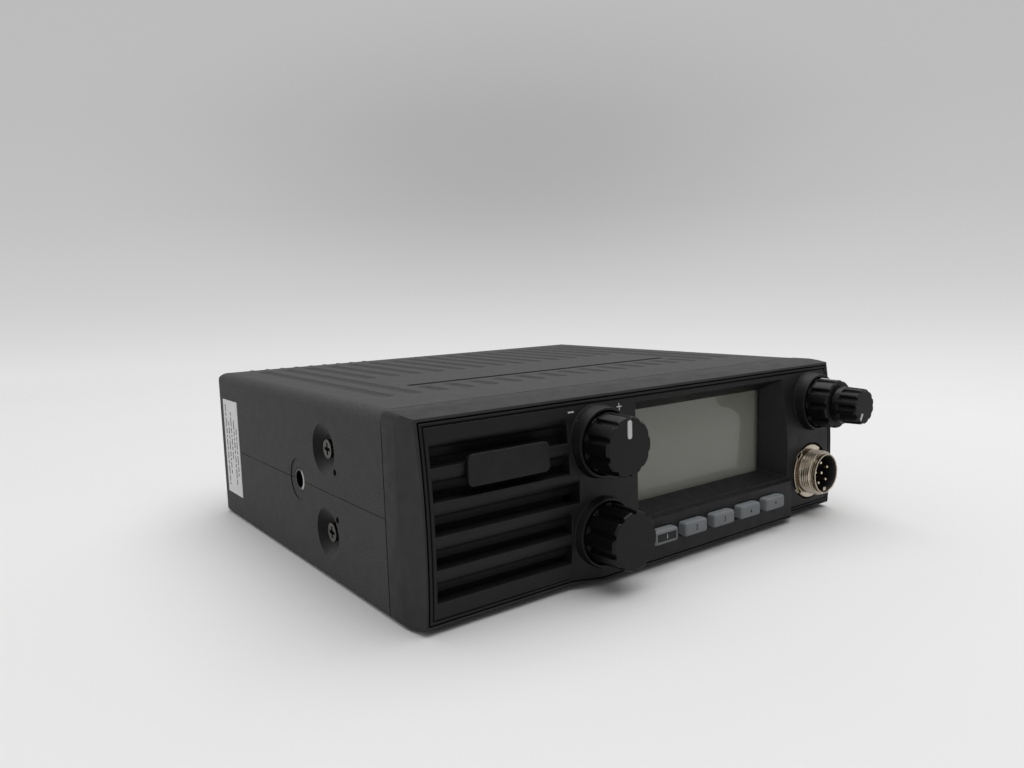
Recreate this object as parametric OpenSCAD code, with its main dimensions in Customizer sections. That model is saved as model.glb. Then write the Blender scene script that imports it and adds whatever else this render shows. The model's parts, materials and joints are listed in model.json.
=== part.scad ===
// Compact mobile radio transceiver, built as it comes apart on a bench.
// Millimetres. X is to the right seen from the front, Y runs from front to back, Z is up.
// The origin is the middle of the case's footprint, on the surface it stands on.

/* [Case] */
// Width of the case
case_w = 171; // [166:1:184]
// Height of the case
case_h = 53.3; // [50:0.1:58]
// Depth of the case from the front face to the rear edge of the covers
case_d = 150; // [140:1:170]
// Wall of the two covers
wall = 1.8; // [1.4:0.1:2.2]
// Radius of the upper long edges of the covers
edge_r = 3.5; // [2:0.5:4.5]
// Radius of the lower long edges of the covers
base_r = 1.8; // [1:0.1:2.5]
// Radius of the rear edges of the covers
rear_r = 4; // [2:0.5:5]
// Height of the seam between the two covers
seam_z = 26; // [24:0.1:27]
// Gap of the seams between covers and front frame
seam_gap = 0.2; // [0.1:0.05:0.4]

/* [Cover grooves] */
// Number of lengthwise grooves in a cover
groove_count = 17; // [9:2:17]
// Number of grooves that the plain band interrupts
groove_split = 13; // [5:2:13]
// Spacing of the grooves
groove_pitch = 9; // [7:0.25:9.25]
// Width of a groove
groove_w = 4.6; // [3:0.2:5.4]
// Depth of a groove
groove_depth = 0.9; // [0.4:0.1:1]
// Distance from the front face to the front ends of the grooves
groove_front = 36.6; // [30:0.2:42]
// Distance from the rear edge to the rear ends of the grooves
groove_rear = 11.4; // [8:0.2:16]
// Length of the short grooves in front of the plain band
groove_short = 14; // [10:0.5:18]
// Length of the plain band
band_len = 32; // [20:0.5:40]
// Width of the cross groove in the plain band
cross_w = 3; // [2:0.2:4]
// Depth of the cross groove
cross_depth = 0.5; // [0.3:0.1:0.8]

/* [Side fixings] */
// Diameter of the dish round a cover screw
dish_d = 15.6; // [12:0.2:17]
// Depth of the dish
dish_depth = 2.9; // [2.4:0.1:3.4]
// Thickness of the dish floor
dish_floor = 1.8; // [1.2:0.1:2.2]
// Distance between the upper and the lower dish
dish_pitch = 24.3; // [20:0.1:26]
// Distance of the dishes behind the front face
dish_setback = 52.4; // [44:0.2:58]
// Thread diameter of the cover screws
screw_d = 3; // [2.5:0.5:3.5]
// Head diameter of the cover screws
screw_head_d = 5.6; // [5:0.1:6]
// Head height of the cover screws
screw_head_h = 1.7; // [1.4:0.1:2]
// Diameter of the small index holes for a bracket
index_d = 1.9; // [1.5:0.1:2.4]
// Distance of the index holes behind the front face
index_setback = 45.2; // [38:0.2:45.4]
// Distance between the two index holes
index_pitch = 13.5; // [10:0.1:16]
// Distance of the bracket insert behind the front face
insert_setback = 72.5; // [66:0.5:90]
// Outer diameter of the bracket insert
insert_d = 7.2; // [6.6:0.1:8]
// Diameter of the insert's threaded bore, the minor diameter of an M6 thread
insert_bore_d = 5.1; // [4:0.1:5.2]
// Diameter of the smooth pad round the insert
pad_d = 13; // [10:0.2:15]
// Depth of the pad below the cover's side
pad_depth = 0.3; // [0.2:0.05:0.5]
// Clearance of screws and bushes in their holes
hole_gap = 0.1; // [0.05:0.05:0.2]

/* [Rating label] */
// Length of the label along the case
label_len = 16; // [14:0.5:22]
// Height of the label
label_h = 35; // [28:0.5:36]
// Distance of the label from the rear edge
label_rear = 5.7; // [2.5:0.1:6]
// Thickness of the label
label_t = 0.2; // [0.1:0.05:0.3]

/* [Front frame] */
// Depth of the frame from the front face to the seam with the covers
bezel_d = 16; // [15:0.5:18]
// Length of the frame that is parallel to the case sides
bezel_flat = 6.5; // [5:0.5:8]
// How far the frame narrows at each side towards the front
bezel_inset_x = 1.8; // [1:0.1:2.2]
// How far the frame narrows at its top towards the front
bezel_inset_z = 1.3; // [0.8:0.1:1.6]
// How far the frame narrows at its bottom towards the front
bezel_chin = 1.9; // [1.4:0.1:2.2]
// Width of the frame's front rim
bezel_rim = 0.5; // [0.4:0.1:0.8]
// Width of the ledge behind the front panel
bezel_ledge = 2.6; // [2:0.1:2.8]
// Corner radius of the frame
bezel_r = 1.8; // [1.5:0.1:3.5]
// Radius of the bowed front face, seen from the side
face_r = 202; // [180:1:260]
// Height of the foremost line of the bowed face
apex_z = 20.5; // [18:0.5:24]

/* [Front panel] */
// Gap between panel and frame
panel_gap = 0.35; // [0.2:0.05:0.5]
// Thickness of the panel at its foremost line
panel_t = 4.5; // [4:0.1:5]
// Distance of the rim groove from the panel's edge
rim_w = 0.7; // [0.5:0.1:0.9]
// Width of the rim groove
rim_groove_w = 0.4; // [0.3:0.1:0.5]
// Depth of the rim groove
rim_groove_depth = 0.5; // [0.3:0.1:0.6]
// How far the button console stands out of the panel
console_out = 2.5; // [2:0.1:2.8]
// Height of the console's upper edge
console_top = 14.8; // [14.3:0.1:15.1]
// Run of the console's sloping ends
console_run = 9; // [6:0.5:10]

/* [Louvres] */
// Number of slots
louvre_count = 5; // [3:1:5]
// Spacing of the slots
louvre_pitch = 8.15; // [7.6:0.05:8.3]
// Height of a slot at the face
louvre_gap = 4.25; // [3.5:0.05:4.6]
// Height of a slot at its throat
louvre_throat = 2; // [1.5:0.1:2.4]
// Depth of the sloping slat underside
louvre_slope = 0.9; // [0.6:0.1:1.2]
// Radius of the rounded lower half of a slat
louvre_roll = 3; // [2.6:0.1:3.6]
// Distance of the first slot from the case top
louvre_drop = 8.6; // [8.2:0.1:9]
// Distance of the slots from the case side
louvre_side = 4.7; // [4.5:0.1:5.5]
// Gap between slots and knob collars
louvre_clear = 0.6; // [0.4:0.1:1.5]

/* [Name plate] */
// Width of the blank plate
plate_w = 25.2; // [20:0.2:28]
// Height of the blank plate
plate_h = 8; // [6:0.2:8.6]
// Thickness of the blank plate
plate_t = 1.5; // [1.2:0.1:1.8]
// Corner radius of the blank plate
plate_r = 1.6; // [1:0.1:2]
// Distance of the plate's middle from the case side
plate_side = 26.8; // [24:0.2:29]

/* [Knobs] */
// Distance of the two left knobs from the left side
left_knob_side = 57.6; // [57:0.1:60]
// Distance of the right knob from the right side
right_knob_side = 13; // [12.9:0.1:14.5]
// Distance of the upper knobs from the case top
upper_knob_drop = 13.65; // [13.4:0.05:14.2]
// Height of the lower knob
lower_knob_z = 14.65; // [14.2:0.05:15]
// Diameter of the large knobs at their front
knob_d = 16.2; // [14:0.2:16.4]
// Diameter of the large knobs at their base
knob_base_d = 16.8; // [16.4:0.1:17]
// Length of the smooth band at a knob's base
knob_band = 2.2; // [1.6:0.1:2.6]
// Bevel of a knob's front edge
knob_bevel = 0.5; // [0.3:0.1:0.7]
// Thickness of a knob's front wall
knob_cap = 2; // [1.6:0.1:2.4]
// Radial gap between knob and collar
knob_side_gap = 0.45; // [0.4:0.05:0.6]
// How far the clarifier knob stands out of the face
clarifier_out = 11; // [9:0.1:13]
// How far the channel knob stands out of the face
channel_out = 12.8; // [10:0.1:14]
// How far the squelch ring stands out of the face
squelch_out = 9.7; // [8:0.1:11]
// How far the volume knob stands out of the face
volume_out = 18.6; // [16:0.1:21]
// Diameter of the volume knob
volume_d = 11.8; // [9:0.1:12]
// Number of grip grooves on a large knob
flute_count = 10; // [8:1:14]
// Number of grip grooves on the volume knob
volume_flutes = 12; // [8:1:14]
// Radius of a grip groove
flute_r = 0.95; // [0.6:0.05:1.1]
// Lower radius of the panel collars round the knobs
collar_r = 10.2; // [10:0.1:10.6]
// Upper radius of the panel collars
collar_top_r = 9.6; // [9.5:0.05:9.8]
// How far the collars stand out of the face
collar_out = 2.5; // [2:0.1:3]
// Depth of the knob wells behind the face
well_depth = 2; // [1.8:0.1:2.2]
// Gap between a knob and what lies under it
knob_gap = 0.5; // [0.4:0.05:0.7]
// Travel of the channel knob when it is pushed
push_travel = 0.5; // [0.3:0.05:0.6]
// Width of a pointer line
pointer_w = 1.5; // [1.2:0.1:2.2]
// Length of the clarifier's pointer line
pointer_len = 5; // [3:0.1:6]
// Width of the line along the squelch ring
squelch_line_w = 0.9; // [0.6:0.1:1.2]
// Length of the volume knob's pointer line
volume_line_len = 2.6; // [2:0.1:3]
// Width of the volume knob's pointer line
volume_line_w = 0.9; // [0.6:0.1:1.2]
// Depth of a pointer inlay
pointer_depth = 0.5; // [0.3:0.1:0.8]
// Angle of the volume pointer from the top, anticlockwise, at its off stop
volume_rest = 150; // [120:1:160]

/* [Controls] */
// Diameter of a solid control shaft
shaft_d = 6; // [5:0.1:6.4]
// Diameter of the inner shaft of the dual control
inner_shaft_d = 4; // [3:0.1:4.2]
// Running clearance of a shaft
run_gap = 0.05; // [0.03:0.01:0.08]
// Diameter of a control's threaded bush
bush_d = 7.4; // [7.2:0.1:8]
// Width of a control body
control_w = 12; // [11:0.2:12.4]
// Depth of a control body
control_d = 7; // [6:0.2:8]
// Thickness of a control nut
nut_t = 1.8; // [1.4:0.1:2]
// Width across the corners of a control nut
nut_d = 11; // [10:0.2:12]

/* [Display] */
// Distance of the recess from the left knobs' middle line
recess_left = 14.1; // [13.5:0.1:15]
// Distance of the recess from the right knob's middle line
recess_right = 14.7; // [13:0.1:15]
// Distance of the recess from the case top
recess_drop = 4.2; // [4:0.1:4.6]
// Depth of the recess behind the face
recess_depth = 8.5; // [7:0.1:9]
// How far the recess walls lean in, at both sides
recess_lean_x = 4.6; // [3:0.1:5]
// How far the upper wall leans in
recess_lean_top = 4.1; // [3:0.1:5]
// How far the lower wall leans in
recess_lean_bottom = 2.4; // [1.5:0.1:3.5]
// Wall round the display
display_wall = 1.3; // [1:0.1:1.6]
// Margin of the window behind the recess
window_margin = 1.5; // [1:0.1:2]
// Thickness of the window
window_t = 1.5; // [1:0.1:2]
// Thickness of the liquid crystal panel
lcd_t = 2.8; // [2:0.1:3]
// Clearance of the display pieces in their pocket
display_gap = 0.15; // [0.1:0.05:0.3]

/* [Keys] */
// Width of one of the five keys
key_w = 9.7; // [9:0.1:10.4]
// Height of a key
key_h = 4.2; // [3.8:0.1:4.8]
// Spacing of the keys
key_pitch = 12.9; // [12.4:0.1:13.4]
// Height of the keys' middle line
key_z = 9.9; // [9.3:0.1:10.3]
// How far the row of keys lies to the left of the display's middle
key_shift = 3.7; // [2:0.1:4.5]
// How far a key stands out of the console
key_out = 2.6; // [1.6:0.1:3]
// Corner radius of a key
key_r = 0.9; // [0.5:0.1:1.4]
// Clearance of a key in its hole
key_gap = 0.25; // [0.15:0.05:0.35]
// Travel of a key
key_travel = 0.9; // [0.6:0.05:1]

/* [Microphone socket] */
// Distance of the socket from the right side
mic_side = 14.2; // [14:0.1:15]
// Height of the socket's axis
mic_z = 15.3; // [14.9:0.1:15.9]
// Diameter of the thread for the plug's ring
mic_thread_d = 15.4; // [14:0.1:16]
// Diameter of the socket's front rim
mic_rim_d = 13.6; // [12.8:0.1:13.8]
// Inner diameter of the socket
mic_bore_d = 12; // [11:0.1:12.2]
// How far the socket stands out of the face
mic_out = 6.1; // [5:0.1:8]
// Diameter of the slotted ring nut
mic_nut_d = 18.7; // [18:0.1:19]
// Thickness of the ring nut
mic_nut_t = 2.2; // [1.8:0.1:2.4]
// Width of the socket's flange behind the panel
mic_flange = 0.5; // [0.3:0.1:0.5]
// Diameter of a contact pin
mic_pin_d = 1.1; // [0.8:0.1:1.4]
// Radius of the circle of contact pins
mic_pin_r = 3.7; // [3.2:0.1:4]
// Turn of the circle of contact pins from the top, clockwise
mic_pin_turn = 64; // [0:1:71]

/* [Speaker] */
// Diameter of the loudspeaker
speaker_d = 40; // [36:0.5:40.5]
// Diameter of its magnet
magnet_d = 26; // [22:0.5:30]
// Depth of its magnet
magnet_h = 9; // [6:0.5:9.5]
// Thickness of the cloth in front of it
cloth_t = 0.5; // [0.3:0.1:0.8]

/* [Frame and boards] */
// Thickness of the chassis plates
plate = 2; // [1.5:0.1:2.4]
// Thickness of a circuit board
board_t = 1.6; // [1:0.1:2]
// Height of the ledges that carry the main board
ledge_z = 15.5; // [14:0.5:17]
// Width of those ledges
ledge_w = 5; // [4:0.5:6]

/* [Rear panel] */
// Thickness of the heat sink's base
sink_t = 7; // [6:0.2:8]
// Length of the fins behind the rear edge of the covers
fin_len = 8; // [4:0.2:12]
// Thickness of a fin
fin_t = 1.6; // [1.2:0.1:2]
// Spacing of the fins
fin_pitch = 6.1; // [4:0.1:8]
// Width of the rear lip of the covers
rear_lip = 4.2; // [3.6:0.1:5]
// Distance of the antenna socket from the right side
antenna_side = 25; // [23:0.5:28]
// Diameter of the antenna socket's thread
antenna_d = 15.88; // [15:0.01:16.5]
// Length of the antenna socket's barrel
antenna_len = 13; // [10:0.5:16]
// Width of the antenna socket's square flange
antenna_flange = 25.4; // [24:0.1:27]
// Diameter of the antenna socket's centre contact bore
contact_d = 4.1; // [3.8:0.1:4.3]
// Distance of the power socket from the right side
power_side = 68; // [66:0.5:72]
// Width of the power socket's opening
power_w = 18; // [15:0.5:20]
// Height of the power socket's opening
power_h = 8; // [7:0.2:9]
// Depth of the power socket's opening
power_depth = 12; // [10:0.5:12]
// Distance of the two jacks from the right side
jack_side = 47.5; // [46.5:0.5:49]
// Distance between the two jacks
jack_pitch = 15; // [14:0.5:18]
// Bore of a jack
jack_bore_d = 3.6; // [3.5:0.05:3.8]

/* [Hidden] */
$fn = 64;
// Length by which a cut runs past the face it opens
over = 1;

// Small sizes of the covers, the frame and the panel
dish_margin = 0.6; // flat ring of a dish's floor round the screw head
dish_cup_step = 1; // taper of the cup behind a dish
index_share = 0.7; // depth of an index hole as a share of the wall
label_lift = 0.5; // of the label's middle above the seam
cross_slot_w = 0.9; // arms of a screw's cross recess
cross_slot_len = 3.5;
cross_slot_depth = 1;
insert_step = 0.5; // shoulder of a bracket insert
lug_r = 2.2;
lug_gap = 0.6; // of a lug to the frame's opening
lug_root = 3; // length of a lug inside the frame
lug_bite = 0.5; // depth of a lug in the frame's ledge
lug_hole_r = 1.25;
lug_hole_root = 2; // length of its hole inside the frame
frame_screw_root = 1; // length of a screw inside the frame
frame_head_h = 1.6;
console_foot = 1; // depth at which the console leaves the panel
console_end = 3; // length of the console past the display
console_start = 7; // from the left knobs' middle line to the console's sloping end
collar_foot = 1.6; // depth at which a collar's cone starts
recess_land = 1; // straight upper edge of the display recess
louvre_land = 1.5; // depth of a slat's rounded lower half
louvre_long = 3; // extra length of the middle slot, between the collars
plate_seat = 1.1; // depth of the name plate's seat
plate_gap = 0.1;
mic_nut_gap = 0.6; // round the ring nut

// Small sizes of the display, the knobs and the keys
guide_t = 4.2; // light guide
bulkhead_gap = 2.4; // behind the front board
shaft_inset = 4; // from the front board to the rear end of a shaft
shaft_gap = 0.2; // in front of a shaft, inside its knob
plunger_t = 1;
plunger_step = 0.4; // edge of the push collar inside the shaft's edge
pot_step = 1; // edge of the space behind a shaft inside the shaft's edge
nut_room = 1; // above a control nut, inside a knob
mark_gap = 0.02; // round an inlay
mark_flat = 0.1; // straight end of an inlay
mark_proud = 0.08; // of an inlay
mark_margin = 0.9; // from the clarifier's line to the edge of its face
flute_lift = 0.2; // share of its radius by which a grip groove's middle is outside the knob
squelch_line_front = 1; // from the squelch ring's face to its line
volume_line_margin = 0.4; // from the volume knob's line to its bevel
volume_taper = 0.6;
key_count = 5;
key_flange = 0.8;
key_flange_t = 1;
key_flange_gap = 0.2; // between a key's flange and the panel
key_stem_dw = 3; // how much narrower a key's stem is than its cap
key_stem_dh = 1.6; // how much lower a key's stem is than its cap
contact_gap = 0.05; // between a pressed key and its contact
mat_t = 1;
mat_gap = 0.5;
mat_edge = 1;
inset_margin = 1;
inset_depth = 0.5;

// Small sizes of the microphone socket and the loudspeaker
mic_rim_len = 1.3;
mic_floor = 1; // depth of the insulator's face behind the panel's face
mic_board_gap = 4; // between the socket and the front board
mic_neck_step = 0.5; // thread height over the neck
mic_flange_t = 1.5;
mic_rib_w = 1.6; // key rib at the bottom of the socket
mic_rib_h = 1.2;
mic_rib_root = 0.3;
mic_rib_front = 0.6;
mic_slot_w = 2.4; // slots of the ring nut
mic_slot_depth = 1.3;
mic_slot_in = 1.1;
mic_pin_inset = 1.6;
mic_pin_tail = 2;
basket_d = 10;
basket_t = 1;
basket_lip = 3;
cone_t = 0.6;
cone_gap = 0.4; // between the cone's edge and the basket's lip
cone_front = 0.2;
cone_back = 2.5;
cone_dome = 1;
magnet_gap = 1.5;
cloth_gap = 0.3; // between the cloth or the loudspeaker and the frame
cloth_edge = 0.4; // of the cloth past the slots
cloth_margin = 1.6; // from the frame's opening to the cloth's upper and lower edges

// Small sizes of the boards
post_r = 2.2;
board_side = 3; // of the front board past the left controls
board_margin = 0.4; // of the front board past the right control
board_gap = 0.6; // between the front board and the frame
notch_gap = 1;
main_gap = 0.5; // between the main board and the side plates
main_end = 2; // between the main board and the plates at its ends
ribbon_w = 28;
ribbon_t = 0.6;
ribbon_gap = 2; // round the cable in the bulkhead
ribbon_lift = 3; // of the cable above the main board
ribbon_rise = 16; // of its upper end above the main board
ribbon_run = 8; // length of the cable over the main board
transistor_w = 10;
transistor_t = 4.5;
transistor_h = 15;
transistor_x = 6; // from the first fin to the first transistor
transistor_pitch = 18;
lead_len = 3;
lead_pitch = 2.5;
lead_w = 0.8;
lead_t = 0.6;
can_size = [46, 30, 9];
can_place = [12, 52]; // from the main board's front left corner
chip_size = [12, 12, 1.8];
chip_place = [16, 30];
chip_pitch = 18;
coil_w = 7;
coil_h = 10;
coil_core_r = 2;
coil_core_depth = 6;
coil_place = [72, 30];
coil_pitch = [12, 16];
capacitor_r = 5;
capacitor_h = [18, 15];
capacitor_place = [16, 30]; // from the main board's rear right corner
capacitor_pitch = 14;

// Small sizes of the rear panel
sink_gap = 0.3; // between the heat sink and the covers
fin_margin = 10.8; // from the rear lip to the first fin
fin_stop = 27; // from the last fin to the power socket
fin_root = 1.5; // from the rear lip to the upper and lower edges of a fin's root
fin_drop = 0.9; // from the case's top and bottom to the ends of a fin
fin_gap = 0.3; // between a fin and the rear edge of the covers
flange_t = 2;
barrel_wall = 1.9; // of the antenna socket
antenna_corner = 2;
antenna_hole_in = 3.6; // from the flange's edge to its screws
antenna_room = 1; // round the insulator in the heat sink
insulator_back = 1;
insulator_front = 5;
contact_wall = 1.1;
contact_tail = 4;
contact_inset = 3; // of the contact behind the barrel's end
rear_screw_len = 5;
rear_head_r = 2.6;
rear_head_h = 1.2;
rear_slot_w = 0.8;
rear_slot_len = 3.4;
rear_slot_depth = 0.7;
power_wall = 1.5;
power_lip = 2; // flange round the power socket
power_floor = 2;
power_pin_r = 1.2;
power_pin_share = 0.36; // place of a pin as a share of the opening's width
power_pin_tail = 3;
power_pin_inset = 1;
jack_body_w = 9;
jack_body_d = 8;
jack_neck_r = 4;
jack_rim_r = 5.2;
jack_rim_t = 2.4;
jack_root = 1;
jack_bore_depth = 6; // of a jack's bore in its body
jack_room = 1; // between the jacks and the main board

// Planes from front to back
face_y = -case_d / 2;
rear_y = case_d / 2;
bezel_back_y = face_y + bezel_d;
bezel_flat_y = bezel_back_y - bezel_flat;
cover_front_y = bezel_back_y + seam_gap;
panel_back_y = face_y + panel_t;
console_y = face_y - console_out;
collar_y = face_y - collar_out;
well_y = face_y + well_depth;
window_y = face_y + recess_depth;
lcd_y = window_y + window_t;
guide_y = lcd_y + lcd_t;
board_y = guide_y + guide_t;
board_back_y = board_y + board_t;
bulkhead_y = board_back_y + bulkhead_gap;
bulkhead_back_y = bulkhead_y + plate;
sink_back_y = rear_y - wall - seam_gap;
sink_y = sink_back_y - sink_t;

// Side planes and panel outline
half_w = case_w / 2;
inner_x = half_w - wall;
side_plate_x = half_w - dish_depth - dish_floor;
pocket_x = half_w - bezel_inset_x - bezel_rim;
pocket_z0 = bezel_chin + bezel_rim;
pocket_z1 = case_h - bezel_inset_z - bezel_rim;
panel_x = pocket_x - panel_gap;
panel_z0 = pocket_z0 + panel_gap;
panel_z1 = pocket_z1 - panel_gap;
opening_x = pocket_x - bezel_ledge;
opening_z0 = pocket_z0 + bezel_ledge;
opening_z1 = pocket_z1 - bezel_ledge;

// Control places
left_x = left_knob_side - half_w;
right_x = half_w - right_knob_side;
upper_z = case_h - upper_knob_drop;
lower_z = lower_knob_z;
mic_x = half_w - mic_side;
knob_base_y = face_y - knob_gap;
well_r = knob_base_d / 2 + knob_side_gap;
bush_end_y = knob_base_y + knob_gap / 2;
control_y = board_y - control_d;
knob_recess = nut_d / 2 + knob_gap;
clarifier_y = face_y - clarifier_out;
channel_y = face_y - channel_out;
squelch_y = face_y - squelch_out;
volume_y = face_y - volume_out;
volume_base_y = squelch_y - knob_gap;
shaft_back_y = board_y - shaft_inset;
plunger_r = shaft_d / 2 - plunger_step;

// Display recess: at the face, and at the window
recess_x0 = left_x + recess_left;
recess_x1 = right_x - recess_right;
recess_z1 = case_h - recess_drop;
sight_x0 = recess_x0 + recess_lean_x;
sight_x1 = recess_x1 - recess_lean_x;
sight_z0 = console_top + recess_lean_bottom;
sight_z1 = recess_z1 - recess_lean_top;
window_x0 = sight_x0 - window_margin;
window_x1 = sight_x1 + window_margin;
window_z0 = sight_z0 - window_margin;
window_z1 = sight_z1 + window_margin;

// Keys
key_mid_x = (sight_x0 + sight_x1) / 2 - key_shift;
key_front_y = console_y - key_out;
key_flange_y = panel_back_y + key_flange_gap;
key_stem_w = key_w - key_stem_dw;
key_stem_h = key_h - key_stem_dh;

// Louvres, plate and speaker
louvre_x0 = louvre_side - half_w;
louvre_x1 = left_x - collar_r - louvre_clear;
louvre_top = case_h - louvre_drop;
plate_x = plate_side - half_w;
plate_z = louvre_top - louvre_gap - (louvre_pitch - louvre_gap) / 2;
plate_seat_y = face_y + plate_seat;
speaker_x = (louvre_x0 + louvre_x1) / 2;
speaker_z = (panel_z0 + panel_z1) / 2;
cloth_y = panel_back_y;
basket_y = cloth_y + cloth_t;
magnet_y = basket_y + basket_d;

// Frame lugs: one behind each left corner and one between the right controls
lug_x = side_plate_x - plate - lug_r - lug_gap;
lug_points = [
    [-lug_x, opening_z0 + lug_r + lug_gap],
    [-lug_x, opening_z1 - lug_r - lug_gap],
    [lug_x, (mic_z + mic_nut_d / 2 + upper_z - control_w / 2) / 2]
];
// Posts that carry the front board
post_x0 = recess_x0 - post_r;
post_x1 = (window_x1 + display_wall + right_x - control_w / 2) / 2;
post_points = [
    [post_x0, (upper_z + lower_z) / 2], [post_x1, (upper_z + lower_z) / 2],
    [post_x1, opening_z1 - post_r]
];

// Boards and rear panel
board_x0 = left_x - control_w / 2 - board_side;
board_x1 = right_x + control_w / 2 + board_margin;
board_z0 = opening_z0 + board_gap;
board_z1 = opening_z1 - board_gap;
notch_x = post_x1 + post_r;
notch_z = upper_z - control_w / 2 - notch_gap;
main_z = ledge_z + board_t;
main_x = side_plate_x - plate - main_gap;
main_y0 = bulkhead_back_y + main_end;
main_y1 = sink_y - main_end;
ribbon_z = main_z + ribbon_lift;
sink_x = inner_x - sink_gap;
sink_z0 = wall + sink_gap;
sink_z1 = case_h - wall - sink_gap;
antenna_x = half_w - antenna_side;
power_x = half_w - power_side;
jack_x = half_w - jack_side;
rear_z = case_h / 2;
fin_x0 = rear_lip + fin_margin - half_w;
fin_x1 = power_x - power_w / 2 - fin_stop;
insulator_r = antenna_d / 2 - barrel_wall;
antenna_face_y = sink_back_y + flange_t;
antenna_end_y = antenna_face_y + antenna_len;
antenna_hole = antenna_flange / 2 - antenna_hole_in;
antenna_points = [
    for (dx = [-1, 1], dz = [-1, 1]) [antenna_x + dx * antenna_hole, rear_z + dz * antenna_hole]
];
jack_z = [rear_z - jack_pitch / 2, rear_z + jack_pitch / 2];
power_shell_w = power_w + 2 * power_wall;
power_shell_h = power_h + 2 * power_wall;
power_back_y = sink_back_y + flange_t - power_depth - power_floor;
power_pin_x = power_w * power_pin_share;

// Microphone socket
mic_front_y = face_y - mic_out;
mic_nut_y = face_y + mic_nut_t;
mic_floor_y = face_y + mic_floor;
mic_back_y = board_y - mic_board_gap;
mic_neck_r = mic_thread_d / 2 - mic_neck_step;
mic_pin_count = 5;
mic_pin_points = concat(
    [[0, 0]],
    [for (i = [0 : mic_pin_count - 1]) mic_pin_at(mic_pin_turn + i * 360 / mic_pin_count)]
);
function mic_pin_at(a) = [sin(a), cos(a)] * mic_pin_r;

// Shapes that repeat

// A flat XZ outline drawn out along Y
module along_y(y0, y1) {
    translate([0, y1, 0]) rotate([90, 0, 0]) linear_extrude(y1 - y0) children();
}

// A flat YZ outline drawn out along X
module along_x(x0, x1) {
    translate([x0, 0, 0]) rotate([90, 0, 90]) linear_extrude(x1 - x0) children();
}

// A flat XY outline drawn out along Z
module along_z(z0, z1) {
    translate([0, 0, z0]) linear_extrude(z1 - z0) children();
}

// A round bar along Y
module rod_y(x, z, y0, y1, r) {
    translate([x, y1, z]) rotate([90, 0, 0]) cylinder(h = y1 - y0, r = r);
}

// A cone along Y with radius r0 at y0 and r1 at y1
module cone_y(x, z, y0, y1, r0, r1) {
    translate([x, y1, z]) rotate([90, 0, 0]) cylinder(h = y1 - y0, r1 = r1, r2 = r0);
}

// A ring along Y
module tube_y(x, z, y0, y1, r, bore) {
    difference() {
        rod_y(x, z, y0, y1, r);
        rod_y(x, z, y0 - over, y1 + over, bore);
    }
}

// A block between two corners
module block(x0, x1, y0, y1, z0, z1) {
    translate([x0, y0, z0]) cube([x1 - x0, y1 - y0, z1 - z0]);
}

// A flat rectangle between two corners with round corners
module round_rect(u0, u1, v0, v1, r) {
    translate([u0 + r, v0]) square([u1 - u0 - 2 * r, v1 - v0]);
    translate([u0, v0 + r]) square([u1 - u0, v1 - v0 - 2 * r]);
    for (u = [u0 + r, u1 - r], v = [v0 + r, v1 - r]) translate([u, v]) circle(r);
}

// Both sides of the case: a child drawn for the left side
module both_sides() {
    children();
    mirror([1, 0, 0]) children();
}

// Everything behind the bowed front face, moved back by setback
module behind_face(setback = 0) {
    translate([-half_w - over, face_y + face_r, apex_z]) rotate([0, 90, 0])
        cylinder(h = case_w + 2 * over, r = face_r - setback, $fn = 256);
}

// Covers

// Outside of the two covers as one block
module case_block() {
    intersection() {
        union() {
            along_y(cover_front_y, rear_y) round_rect(-half_w, half_w, 0, case_h, edge_r);
            along_y(cover_front_y, rear_y) round_rect(-half_w, half_w, 0, seam_z, base_r);
        }
        along_x(-half_w - over, half_w + over)
            round_rect(cover_front_y - 3 * rear_r, rear_y, 0, case_h, rear_r);
        along_z(-over, case_h + over)
            round_rect(-half_w, half_w, cover_front_y - 3 * rear_r, rear_y, rear_r / 2);
    }
}

module case_shell() {
    difference() {
        case_block();
        block(-inner_x, inner_x, cover_front_y - over, rear_y - wall, wall, case_h - wall);
        block(rear_lip - half_w, half_w - rear_lip, rear_y - wall - over, rear_y + over,
            rear_lip, case_h - rear_lip);
    }
}

// A cup inside the cover that backs the dish on the left side
module dish_cup(z) {
    translate([-half_w + wall / 2, face_y + dish_setback, z]) rotate([0, 90, 0])
        cylinder(h = half_w - wall / 2 - side_plate_x, r1 = dish_d / 2 + wall / 2,
            r2 = dish_d / 2 - dish_cup_step);
}

// The dish and its screw hole on the left side
module dish_cut(z) {
    translate([-half_w, face_y + dish_setback, z]) rotate([0, 90, 0]) {
        translate([0, 0, -over / 4])
            cylinder(h = dish_depth + over / 4, r1 = dish_d / 2, r2 = screw_head_d / 2 + dish_margin);
        cylinder(h = dish_depth + dish_floor + over, r = screw_d / 2 + hole_gap);
    }
}

// Bracket hole, pad and index holes on the left side
module bracket_cut() {
    translate([-half_w - over, face_y + insert_setback, seam_z]) rotate([0, 90, 0]) {
        cylinder(h = over + pad_depth, r = pad_d / 2);
        cylinder(h = wall + 2 * over, r = insert_d / 2 + hole_gap);
    }
    for (side = [-1, 1])
        translate([-half_w - over, face_y + index_setback, seam_z + side * index_pitch / 2])
            rotate([0, 90, 0]) cylinder(h = over + wall * index_share, r = index_d / 2);
}

// One lengthwise groove with round ends, cut into a flat top
module groove(x, y0, y1, w, depth) {
    r = (w * w / 4 + depth * depth) / (2 * depth);
    translate([x, 0, case_h + r - depth]) {
        rod_y(0, 0, y0 + w / 2, y1 - w / 2, r);
        for (y = [y0 + w / 2, y1 - w / 2]) translate([0, y, 0]) sphere(r);
    }
}

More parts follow.
